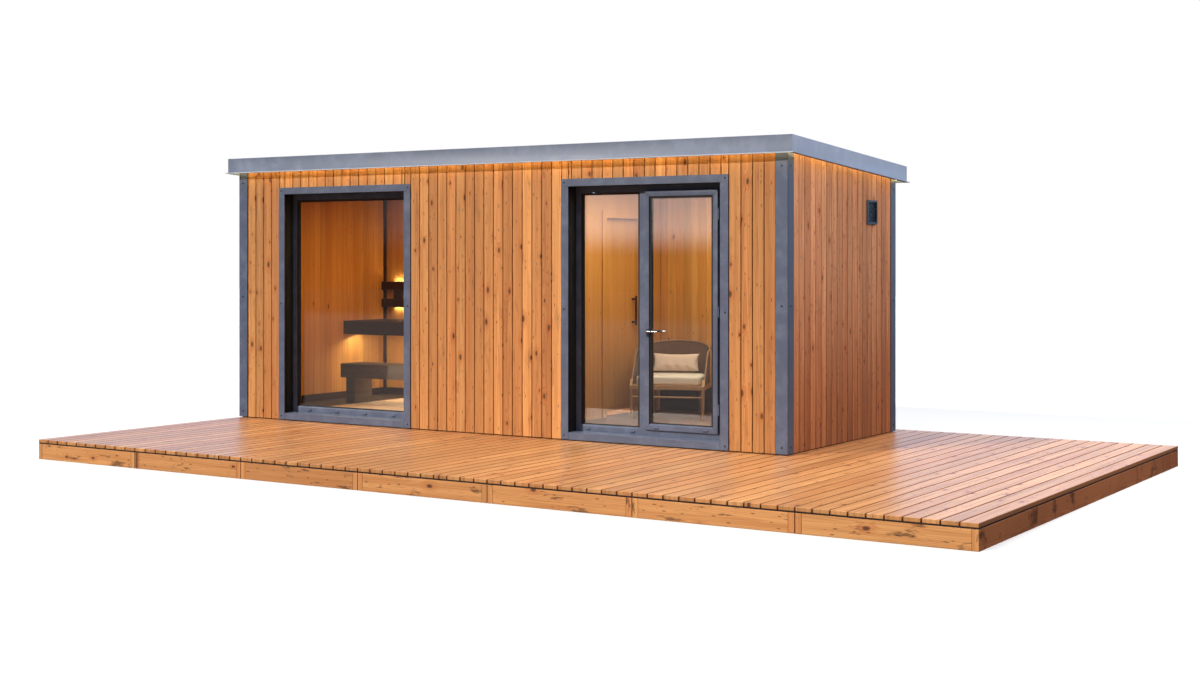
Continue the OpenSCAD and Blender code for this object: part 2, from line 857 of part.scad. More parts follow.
// ---- partition and inner door ------------------------------------------------
module partition() {
    x = [partition_x0, partition_x1];
    y = [inner_y0 - jamb_t, inner_y1 + jamb_t];
    color(spruce) {
        wall_panel(x, [room_front, y[0]], room_z);
        wall_panel(x, [y[1], room_back], room_z);
        wall_panel(x, [y[0] + panel_joint, y[1] - panel_joint], inner_top + jamb_t);
    }
}

// Door lining with an architrave on the lounge side
module inner_door_frame() {
    x = [partition_x0, partition_x1];
    ax = [partition_x1, partition_x1 + architrave_t];
    color(light_wood) difference() {
        union() {
            span(x, [inner_y0 - jamb_t, inner_y1 + jamb_t], [room_z, inner_top + jamb_t]);
            span([partition_x1, ax[1]], [inner_y0 - architrave_w, inner_y1 + architrave_w],
                 [room_z, inner_top + architrave_w]);
        }
        span([x[0] - 1, ax[1] + 1], [inner_y0, inner_y1], [room_z - 1, inner_top]);
    }
}

leaf_x0 = partition_x0;
leaf_x1 = partition_x0 + inner_leaf_t;

module inner_door() {
    color(spruce) span([leaf_x0, leaf_x1], [inner_y0 + inner_gap, inner_y1 - inner_gap],
                       [leaf_z0, inner_top - inner_gap]);
}

// Butt hinges on the sauna side, the fixed half with the pin and the moving half with the bore
butt_r = 6;
butt_t = 3;
butt_len = 80;
butt_leaf = 26;
butt_x = partition_x0 - butt_r - 1;
butt_y = inner_y0 + 2;
butt_zs = [leaf_z0 + 180, inner_top - 200];
butt_knuckle = butt_len / 2 - 1;
butt_pin_r = 3;

module inner_door_hinges() {
    color(steel) for (z = butt_zs) union() {
        translate([butt_x, butt_y, z - butt_len / 2]) cylinder(r = butt_r, h = butt_knuckle);
        translate([butt_x, butt_y, z - butt_len / 2]) cylinder(r = butt_pin_r, h = butt_len - 4);
        span([partition_x0 - butt_t, partition_x0], [butt_y - butt_leaf, butt_y],
             [z - butt_len / 2, z - butt_len / 2 + butt_knuckle]);
    }
}

module inner_leaf_hinges() {
    color(steel) for (z = butt_zs) difference() {
        union() {
            translate([butt_x, butt_y, z]) cylinder(r = butt_r, h = butt_knuckle);
            span([partition_x0 - butt_t, partition_x0], [butt_y, butt_y + butt_leaf + inner_gap],
                 [z, z + butt_knuckle]);
        }
        translate([butt_x, butt_y, z - 1])
            cylinder(r = butt_pin_r + pin_clear, h = butt_knuckle + 2);
    }
}

// Dark D-shaped pull on the lounge side of the leaf
pull_z = deck_h + 1070;
pull_h = 280;
pull_r = 11;
pull_out = 45;

module inner_door_pull() {
    y = inner_y1 - 75;
    color(dark_wood) translate([leaf_x1, y, pull_z]) union() {
        for (s = [-1, 1]) translate([0, 0, s * (pull_h / 2 - pull_r - 20)])
            rotate([0, 90, 0]) cylinder(r = pull_r, h = pull_out);
        translate([pull_out, 0, -pull_h / 2]) cylinder(r = pull_r, h = pull_h);
    }
}

// ---- benches -----------------------------------------------------------------
slat_pitch = 130;
slat_gap = 14;
seat_t = 28;
bearer_w = 45;
bearer_h = 70;

// Seat of slats with a front board and bearers at both ends and in the middle
module bench_top(x, y, z) {
    d = y[1] - y[0];
    n = round(d / slat_pitch);
    slat_w = (d - (n - 1) * slat_gap) / n;
    for (i = [0:n - 1])
        span(x, [y[0] + i * (slat_w + slat_gap), y[0] + i * (slat_w + slat_gap) + slat_w],
             [z - seat_t, z]);
    span(x, [y[0], y[0] + seat_t], [z - bench_front_h, z - seat_t + eps]);
    for (bx = [x[0], (x[0] + x[1] - bearer_w) / 2, x[1] - bearer_w])
        span([bx, bx + bearer_w], [y[0] + seat_t - eps, y[1]],
             [z - seat_t - bearer_h, z - seat_t + eps]);
}

trim_clear = 2;

// Bench along the back wall, notched round the corner batten, with a post under its free end
module upper_bench() {
    z = deck_h + upper_seat_z;
    notch = corner_trim_w + trim_clear;
    post_y = upper_y0 + 60;
    color(dark_wood) difference() {
        union() {
            bench_top([bench_x0, bench_x1], [upper_y0, room_back], z);
            span([bench_x1 - bearer_w, bench_x1], [post_y, post_y + bearer_w],
                 [room_z, z - seat_t - bearer_h + eps]);
        }
        span([bench_x0 - 1, bench_x0 + notch], [room_back - notch, room_back + 1],
             [z - bench_front_h, z + 1]);
    }
}

foot_w = 110;
foot_in = 40;

// Bench on two upright board feet
module lower_bench() {
    z = deck_h + lower_seat_z;
    color(grey_wood) union() {
        bench_top([lower_x0, bench_x1], [lower_y0, lower_y1], z);
        for (fx = [lower_x0 + foot_in, bench_x1 - foot_in - foot_w])
            span([fx, fx + foot_w], [lower_y0 + foot_in, lower_y1 - foot_in],
                 [room_z, z - seat_t + eps]);
    }
}

back_slat_t = 28;
back_slat_h = 90;
back_off = 30;
back_post_w = 95;
back_x = [room_left, bench_x1];
back_posts = [back_x[0] + 165, (back_x[0] + back_x[1] - back_post_w) / 2, back_x[1] - 260];
back_slat_zs = [deck_h + 1040, deck_h + 1225];

// Two slats in front of the back wall, on upright blocks
module bench_backrest() {
    y = [room_back - back_off - back_slat_t, room_back - back_off];
    z = [back_slat_zs[0] + 10, back_slat_zs[1] + back_slat_h - 10];
    color(dark_wood) union() {
        for (z0 = back_slat_zs) span(back_x, y, [z0, z0 + back_slat_h]);
        for (x = back_posts) span([x, x + back_post_w], [y[0] + 4, room_back], z);
    }
}

strip_h = 10;
strip_t = 8;
strip_end = 10;
// Starts and ends of the wall strips, which stop at the backrest's blocks
strip_x0 = [back_x[0] + corner_trim_w + strip_end, for (x = back_posts) x + back_post_w + strip_end];
strip_x1 = [for (x = back_posts) x - strip_end, back_x[1] - strip_end];

// Strip behind the front board of the upper bench, and strips on the wall behind the slats
module bench_lights() {
    under_y = upper_y0 + seat_t;
    under_z = deck_h + upper_seat_z - bench_front_h + strip_end;
    color(glow) {
        span([bench_x0 + 60, bench_x1 - 60], [under_y, under_y + strip_t],
             [under_z, under_z + strip_h]);
        for (z0 = back_slat_zs) for (i = [0:len(strip_x0) - 1])
            span([strip_x0[i], strip_x1[i]], [room_back - strip_t, room_back],
                 [z0 + (back_slat_h - strip_h) / 2, z0 + (back_slat_h + strip_h) / 2]);
    }
}

// ---- chair -------------------------------------------------------------------
chair_r = chair_w / 2;
chair_x0 = -chair_r;
chair_x1 = chair_r;
chair_y0 = -chair_d / 2;
chair_y1 = chair_d / 2;
chair_cy = chair_y1 - chair_r;
seat_z = room_z + chair_rail_z;
seat_frame_h = 36;
leg_r = 15;
weave_t = 18;
arm_w = 30;
arm_y = chair_y0 + 230;

// Place of the chair in the lounge, turned about its middle
module in_lounge() {
    translate([right_x - chair_from_right, front_y + chair_from_front, 0])
        rotate([0, 0, chair_turn]) children();
}

// Plan of the seat: straight sides and a round back, drawn in by a margin
module chair_plan(margin) {
    intersection() {
        translate([0, chair_cy]) circle(r = chair_r - margin);
        translate([chair_x0, chair_cy]) square([chair_w, chair_r]);
    }
    translate([chair_x0 + margin, chair_y0 + margin])
        square([chair_w - 2 * margin, chair_cy - chair_y0 - margin + eps]);
}

// Upright shell along the sides and the round back
module chair_shell(t) {
    translate([0, 0, seat_z]) linear_extrude(chair_back_z) difference() {
        chair_plan(0);
        chair_plan(t);
        translate([chair_x0 + t, chair_y0 - 1]) square([chair_w - 2 * t, t + 2]);
    }
}

// Side view of the back, moved back by a distance from the line of the arm posts
module chair_side(back, margin) {
    translate([chair_x0 - 1, 0, 0]) rotate([90, 0, 90]) linear_extrude(chair_w + 2)
        polygon([[chair_y0 + back, seat_z], [arm_y + back, room_z + chair_arm_z - margin],
                 [chair_y1 + 1, room_z + chair_back_z - margin], [chair_y1 + 1, seat_z]]);
}

module chair_frame() {
    foot_x = [chair_x0 + leg_r, chair_x1 - leg_r];
    back_x = [-chair_r * 0.62, chair_r * 0.62];
    back_leg_y = chair_cy + chair_r * 0.68;
    rail_z = room_z + chair_rail_z * 0.66;
    leg_h = chair_rail_z - seat_frame_h;
    color(light_wood) in_lounge() union() {
        for (x = foot_x) translate([x, chair_y0 + leg_r, room_z])
            cylinder(r1 = leg_r * 0.75, r2 = leg_r, h = leg_h + eps);
        for (x = back_x) translate([x, back_leg_y, room_z])
            cylinder(r1 = leg_r * 0.75, r2 = leg_r, h = leg_h + eps);
        translate([0, 0, seat_z - seat_frame_h]) linear_extrude(seat_frame_h) chair_plan(0);
        translate([foot_x[0], chair_y0 + leg_r, rail_z]) rotate([0, 90, 0])
            cylinder(r = 9, h = foot_x[1] - foot_x[0]);
        intersection() {
            chair_shell(weave_t + 6);
            difference() {
                chair_side(0, 0);
                chair_side(arm_w, -chair_back_z);
            }
        }
    }
}

// Woven barrel back that curves round the seat, behind the arm posts
module chair_back() {
    color(rope) in_lounge() intersection() {
        chair_shell(weave_t);
        chair_side(arm_w, 0);
    }
}

soft_gap = 0.3;

module seat_cushion() {
    color(linen) in_lounge() translate([0, 0, seat_z + soft_gap]) linear_extrude(cushion_t)
        chair_plan(weave_t + 10);
}

// Pillow that leans towards the back
pillow_t = 110;
pillow_lean = 16;
pillow_in = 175;

module back_pillow() {
    color(linen) in_lounge()
        translate([0, chair_y1 - pillow_in, seat_z + cushion_t + 2 * soft_gap])
            rotate([-pillow_lean, 0, 0])
                translate([-pillow_w / 2, -pillow_t, 0]) cube([pillow_w, pillow_t, pillow_h]);
}

deck_beams();
deck_rims();
deck_joists();
deck_boards();
floor_base();
floor_boards();
front_wall();
back_wall();
left_wall();
right_wall();
front_cladding();
back_cladding();
left_cladding();
right_cladding();
corner_angles();
roof_panel();
roof_sheet();
roof_fascia();
eaves_light();
sauna_lining();
lounge_lining();
sauna_skirting();
sauna_corner_trim();
window_casing();
window_frame();
window_glass();
door_casing();
door_frame();
fixed_glass();
door_sash();
sash_glass();
door_hinges();
sash_hinges();
handle_roses();
door_handle();
vent_grille();
partition();
inner_door_frame();
inner_door_hinges();
inner_door();
inner_leaf_hinges();
inner_door_pull();
upper_bench();
lower_bench();
bench_backrest();
bench_lights();
chair_frame();
chair_back();
seat_cushion();
back_pillow();
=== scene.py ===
"""Modular sauna cabin on its timber deck: boards, finishes, fittings, cushions and light on the frame."""
import logging
import math
from dataclasses import dataclass, field
from enum import Enum
from typing import Iterable, Mapping, Optional, Sequence, Union

import bmesh
import bpy
import numpy as np
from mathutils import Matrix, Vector


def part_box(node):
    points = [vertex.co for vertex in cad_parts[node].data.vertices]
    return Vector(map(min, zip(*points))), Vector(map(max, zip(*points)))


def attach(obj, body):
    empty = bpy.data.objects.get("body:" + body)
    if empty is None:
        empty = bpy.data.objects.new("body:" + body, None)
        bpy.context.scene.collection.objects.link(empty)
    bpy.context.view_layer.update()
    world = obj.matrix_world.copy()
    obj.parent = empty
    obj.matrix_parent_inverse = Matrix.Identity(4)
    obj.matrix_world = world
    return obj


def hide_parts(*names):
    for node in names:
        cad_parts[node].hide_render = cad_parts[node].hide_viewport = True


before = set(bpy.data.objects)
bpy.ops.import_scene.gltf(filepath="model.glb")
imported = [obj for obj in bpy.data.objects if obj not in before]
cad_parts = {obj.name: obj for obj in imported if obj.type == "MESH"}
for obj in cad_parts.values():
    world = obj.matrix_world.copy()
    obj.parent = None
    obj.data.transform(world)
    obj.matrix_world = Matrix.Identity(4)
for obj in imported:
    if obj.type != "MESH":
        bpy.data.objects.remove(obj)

LOG = logging.getLogger("sauna_cabin")
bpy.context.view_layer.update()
Colour = tuple[float, float, float]
Line = tuple[np.ndarray, np.ndarray, np.ndarray]

# Construction values shared with the frame, in metres
MODULES = 7
BOARDS_PER_MODULE = 10
BEAM_T = 0.045
MODULE_SLIT = 0.004
FIT_GAP = 0.0003
DECK_GAP = 0.008
ANGLE_LEG = 0.110
CASING_REBATE = 0.071
LINING_T = 0.012
ROOF_SLOPE = math.tan(math.radians(3.6))
GLASS_BITE = 0.012
CHAIR_TURN = math.radians(20)
PILLOW_LEAN = math.radians(16)
ARM_RUN = 0.230
ARM_RISE = 0.300
BOARD_GAP = 0.008
BOARD_PITCH = 0.10425
SHARP_ANGLE = math.radians(35)
GLASS_OF = {"window_frame": "window_glass", "door_frame": "fixed_glass", "door_sash": "sash_glass"}


class Grain(Enum):
    """Direction of a board's grain, as the order (along, across, depth) of the axes."""

    ALONG_X = (0, 2, 1)
    ALONG_X_FLAT = (0, 1, 2)
    ALONG_Y = (1, 0, 2)
    ALONG_Z_FACING_Y = (2, 0, 1)
    ALONG_Z_FACING_X = (2, 1, 0)


class Body(str, Enum):
    """The rigid bodies of the frame."""

    CABIN = "cabin"
    SASH = "sash"
    LEVER = "lever"
    INNER_LEAF = "inner_leaf"


# ---- meshes ------------------------------------------------------------------
def linked(name: str, data: bpy.types.ID) -> bpy.types.Object:
    """Makes an object of a mesh, lamp or camera and links it to the scene.

    Args:
        name: Name of the object.
        data: Its mesh, lamp or camera.

    Returns:
        The object.
    """
    made = bpy.data.objects.new(name, data)
    bpy.context.scene.collection.objects.link(made)
    return made


def vertex_array(mesh: bpy.types.Mesh) -> np.ndarray:
    """Points of a mesh, one row each.

    Args:
        mesh: The mesh.

    Returns:
        Its points (n, 3).
    """
    points = np.empty(len(mesh.vertices) * 3)
    mesh.vertices.foreach_get("co", points)
    return points.reshape(-1, 3)


def move_vertices(piece: bpy.types.Object, points: np.ndarray) -> None:
    """Puts the points of a piece's mesh at new places."""
    piece.data.vertices.foreach_set("co", points.ravel())


def band_quads(rings: int, sides: int) -> np.ndarray:
    """Faces between each closed ring of points and the next.

    Args:
        rings: Number of rings, whose points follow one another.
        sides: Points of each ring.

    Returns:
        Faces with four corners.
    """
    base, step = np.arange(rings - 1)[:, None] * sides, np.arange(sides)
    near, far = base + step, base + (step + 1) % sides
    return np.stack([near, far, far + sides, near + sides], axis=2).reshape(-1, 4)


def mesh_object(name: str, points: np.ndarray, faces: Sequence[np.ndarray],
                smooth: bool = False) -> bpy.types.Object:
    """Makes a mesh object at the origin.

    Args:
        name: Name of the object and its mesh.
        points: Vertex positions, one row each, in metres.
        faces: Arrays of vertex indices, one row a face, one array for each number of corners.
        smooth: True for smooth shading.

    Returns:
        The object, linked to the scene.
    """
    mesh = bpy.data.meshes.new(name)
    loops = np.concatenate([f.ravel() for f in faces]).astype(np.int32)
    totals = np.concatenate([np.full(len(f), f.shape[1]) for f in faces]).astype(np.int32)
    starts = np.concatenate([[0], np.cumsum(totals)[:-1]]).astype(np.int32)
    mesh.vertices.add(len(points))
    mesh.vertices.foreach_set("co", np.ascontiguousarray(points, dtype=np.float32).ravel())
    mesh.loops.add(len(loops))
    mesh.loops.foreach_set("vertex_index", loops)
    mesh.polygons.add(len(totals))
    mesh.polygons.foreach_set("loop_start", starts)
    mesh.polygons.foreach_set("use_smooth", np.full(len(totals), smooth))
    mesh.update(calc_edges=True)
    mesh.validate()
    return linked(name, mesh)


def paint_attribute(piece: bpy.types.Object, name: str, kind: str, values: np.ndarray) -> None:
    """Stores a value on every vertex.

    Args:
        piece: Object whose mesh takes the attribute.
        name: Attribute name that the finishes read.
        kind: FLOAT or FLOAT_VECTOR.
        values: One row or number a vertex.
    """
    layer = piece.data.attributes.new(name, kind, "POINT")
    layer.data.foreach_set("vector" if kind == "FLOAT_VECTOR" else "value", values.astype(np.float32).ravel())


def place(piece: bpy.types.Object, finish: bpy.types.Material, body: Body,
          replaced: Iterable[str] = ()) -> bpy.types.Object:
    """Dresses a piece, puts it on its body and reports it.

    Args:
        piece: The finished object.
        finish: Its material.
        body: The body it moves with.
        replaced: Nodes of the frame that it stands for.

    Returns:
        The piece.
    """
    piece.data.materials.clear()
    piece.data.materials.append(finish)
    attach(piece, body.value)
    nodes = list(replaced)
    if nodes:
        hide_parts(*nodes)
    LOG.info("%s: %d faces, %s, for %s", piece.name, len(piece.data.polygons), finish.name, nodes or "trim")
    return piece


def eased_box_template() -> tuple[np.ndarray, np.ndarray, list[np.ndarray]]:
    """Vertices and faces of a box whose twelve edges and eight corners are cut.

    Vertex (corner s, axis k) lies at s * half on axis k and at s * (half - ease) on the other two.

    Returns:
        Corner signs (24, 3), the axis mask that isn't inset (24, 3), and the faces with 4 and with 3 corners.
    """
    corners = np.array(np.meshgrid([-1, 1], [-1, 1], [-1, 1], indexing="ij")).reshape(3, 8).T
    signs = np.repeat(corners, 3, axis=0)
    keep = np.tile(np.eye(3), (8, 1))
    index = {(tuple(c), k): 3 * i + k for i, c in enumerate(corners.tolist()) for k in range(3)}
    quads, triangles = [], []
    for k in range(3):
        m, n = [a for a in range(3) if a != k]
        for s in (-1, 1):
            ring = []
            for u, v in ((-1, -1), (1, -1), (1, 1), (-1, 1)):
                corner = [0, 0, 0]
                corner[k], corner[m], corner[n] = s, u, v
                ring.append(index[tuple(corner), k])
            quads.append(ring)
        for u in (-1, 1):
            for v in (-1, 1):
                ends = []
                for s in (-1, 1):
                    corner = [0, 0, 0]
                    corner[k], corner[m], corner[n] = s, u, v
                    ends.append(tuple(corner))
                quads.append([index[ends[0], m], index[ends[1], m], index[ends[1], n], index[ends[0], n]])
    for corner in corners.tolist():
        triangles.append([index[tuple(corner), k] for k in range(3)])
    trial = signs * (1 - 0.2 * (1 - keep))
    faces = []
    for group in (np.array(quads), np.array(triangles)):
        a, b, c = (trial[group[:, i]] for i in range(3))
        outward = np.einsum("ij,ij->i", np.cross(b - a, c - b), trial[group].mean(axis=1)) > 0
        faces.append(np.where(outward[:, None], group, group[:, ::-1]))
    return signs, keep, faces


BOX_SIGNS, BOX_KEEP, BOX_FACES = eased_box_template()


def planks(name: str, low: np.ndarray, high: np.ndarray, grain: Grain, seed: int,
           ease: float) -> bpy.types.Object:
    """Makes many boards as one mesh, each with eased edges and its own grain.

    A vertex is middle + sign * (half - ease), without the ease on its own axis. The grain attribute is the
    point's place along, across and into its own board, moved by random amounts. Tone is one number a board.

    Args:
        name: Name of the piece.
        low: Lowest corner of each board (n, 3).
        high: Highest corner of each board (n, 3).
        grain: Direction of the boards.
        seed: Start of the random draws.
        ease: Width of the cut edges.

    Returns:
        The object.
    """
    draws = np.random.default_rng(seed)
    low, high = np.atleast_2d(low).astype(float), np.atleast_2d(high).astype(float)
    count = len(low)
    middle, half = (low + high) / 2, (high - low) / 2
    local = BOX_SIGNS[None] * (half[:, None, :] - ease * (1 - BOX_KEEP)[None])
    points = (middle[:, None, :] + local).reshape(-1, 3)
    shift = np.arange(count)[:, None, None] * len(BOX_SIGNS)
    faces = [(group[None] + shift).reshape(-1, group.shape[1]) for group in BOX_FACES]
    piece = mesh_object(name, points, faces)
    moved = np.stack([draws.uniform(-40, 40, count), draws.uniform(-0.06, 0.06, count),
                      draws.uniform(0.03, 0.09, count)], axis=1)
    pattern = local[:, :, list(grain.value)] + moved[:, None, :]
    paint_attribute(piece, "grain", "FLOAT_VECTOR", pattern.reshape(-1, 3))
    paint_attribute(piece, "tone", "FLOAT", np.repeat(draws.uniform(0, 1, count), len(BOX_SIGNS)))
    return piece


def box_rows(rows: Sequence[Sequence[float]]) -> tuple[np.ndarray, np.ndarray]:
    """Splits rows of (x0, x1, y0, y1, z0, z1) into low and high corners."""
    table = np.array(rows, dtype=float)
    return table[:, [0, 2, 4]], table[:, [1, 3, 5]]


def eased_copy(node: str, name: str, ease: float, grain: Optional[Grain] = None) -> bpy.types.Object:
    """Copies a node's mesh, joins its triangles and rounds its edges.

    Args:
        node: Node of the frame.
        name: Name of the copy.
        ease: Radius of the rounded edges.
        grain: Direction of the wood, or None for other materials.

    Returns:
        The copy, at the origin.
    """
    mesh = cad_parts[node].data.copy()
    mesh.name = name
    work = bmesh.new()
    work.from_mesh(mesh)
    bmesh.ops.remove_doubles(work, verts=work.verts, dist=1e-5)
    bmesh.ops.dissolve_limit(work, angle_limit=math.radians(1), verts=work.verts, edges=work.edges)
    work.to_mesh(mesh)
    work.free()
    piece = linked(name, mesh)
    mesh.shade_smooth()
    mesh.set_sharp_from_angle(angle=SHARP_ANGLE)
    if ease:
        rounding = piece.modifiers.new("eased_edges", "BEVEL")
        rounding.width, rounding.segments = ease, 2
        rounding.limit_method, rounding.angle_limit = "ANGLE", SHARP_ANGLE
        rounding.harden_normals = False
    if grain is not None:
        pith_behind = np.array([0.0, 0.0, 0.05])
        spots = vertex_array(mesh)[:, list(grain.value)] + pith_behind
        paint_attribute(piece, "grain", "FLOAT_VECTOR", spots)
        paint_attribute(piece, "tone", "FLOAT", np.full(len(mesh.vertices), 0.5))
    return piece


def revolved(profile: np.ndarray, centres: np.ndarray, axis: int, sign: float, sides: int,
             name: str) -> bpy.types.Object:
    """Turns one closed-ended profile at many places.

    The profile's rows are (radius, height), and point (i, j) of a copy is
    centre + radius_i * (cos, sin)(2 pi j / sides) + height_i along the axis.

    Args:
        profile: Rows of radius and height, from the rim to the middle.
        centres: Where each copy sits (n, 3).
        axis: Axis the profile rises along.
        sign: Direction along that axis.
        sides: Steps round.
        name: Name of the piece.

    Returns:
        The object.
    """
    turn = np.arange(sides) * 2 * math.pi / sides
    around, over = [a for a in range(3) if a != axis]
    ring = np.zeros((len(profile), sides, 3))
    ring[:, :, around] = profile[:, 0, None] * np.cos(turn)[None]
    ring[:, :, over] = profile[:, 0, None] * np.sin(turn)[None]
    ring[:, :, axis] = sign * profile[:, 1, None]
    flat = ring.reshape(-1, 3)
    quads = band_quads(len(profile), sides)
    caps = np.stack([np.arange(sides) + (len(profile) - 1) * sides, np.arange(sides)[::-1]])
    if sign * (1 if axis != 1 else -1) < 0:
        quads, caps = quads[:, ::-1], caps[:, ::-1]
    shift = np.arange(len(centres))[:, None, None] * len(flat)
    points = (centres[:, None, :] + flat[None]).reshape(-1, 3)
    faces = [(group[None] + shift).reshape(-1, group.shape[1]) for group in (quads, caps)]
    return mesh_object(name, points, faces, smooth=True)


def face_facts(piece: bpy.types.Object) -> tuple[np.ndarray, np.ndarray]:
    """Reads the middles and normals of a piece's faces.

    Args:
        piece: The piece.

    Returns:
        Middles and normals, one row a face.
    """
    count = len(piece.data.polygons)
    centres, normals = np.empty(count * 3), np.empty(count * 3)
    piece.data.polygons.foreach_get("center", centres)
    piece.data.polygons.foreach_get("normal", normals)
    return centres.reshape(-1, 3), normals.reshape(-1, 3)


def second_finish(piece: bpy.types.Object, finish: bpy.types.Material, chosen: np.ndarray) -> None:
    """Adds a finish to a piece and gives it to the chosen faces.

    Args:
        piece: The piece, already dressed in its first finish.
        finish: The added finish.
        chosen: True for each face that takes it.
    """
    piece.data.materials.append(finish)
    piece.data.polygons.foreach_set("material_index", chosen.astype(np.int32))
    piece.data.update()


def ring_rows(x: tuple[float, float], z: tuple[float, float], y: tuple[float, float],
              width: float) -> list[list[float]]:
    """Rows of four bars round the inside of an upright rectangle.

    Args:
        x: Left and right end of the rectangle.
        z: Its bottom and top.
        y: Front and back of the bars.
        width: Width of the bars.

    Returns:
        Rows for box_rows.
    """
    return [[x[0], x[0] + width, *y, *z], [x[1] - width, x[1], *y, *z],
            [x[0] + width, x[1] - width, *y, z[0], z[0] + width],
            [x[0] + width, x[1] - width, *y, z[1] - width, z[1]]]


# ---- finishes ----------------------------------------------------------------
class Value:
    """A socket of a node tree that plain arithmetic can be written with."""

    def __init__(self, graph: "Graph", socket: bpy.types.NodeSocket) -> None:
        """Keeps the socket and the graph that takes the nodes of the arithmetic."""
        self.graph, self.socket = graph, socket

    def __add__(self, other: "Operand") -> "Value":
        """Sum."""
        return self.graph.math("ADD", self, other)

    def __sub__(self, other: "Operand") -> "Value":
        """Difference."""
        return self.graph.math("SUBTRACT", self, other)

    def __rsub__(self, other: "Operand") -> "Value":
        """Difference from a plain number."""
        return self.graph.math("SUBTRACT", other, self)

    def __mul__(self, other: "Operand") -> "Value":
        """Product."""
        return self.graph.math("MULTIPLY", self, other)

    def __truediv__(self, other: "Operand") -> "Value":
        """Quotient."""
        return self.graph.math("DIVIDE", self, other)

    def __pow__(self, other: "Operand") -> "Value":
        """Power."""
        return self.graph.math("POWER", self, other)

    def __gt__(self, other: "Operand") -> "Value":
        """1 where this is the greater, else 0."""
        return self.graph.math("GREATER_THAN", self, other)


Operand = Union[Value, float]
Shade = Union[Value, Colour]


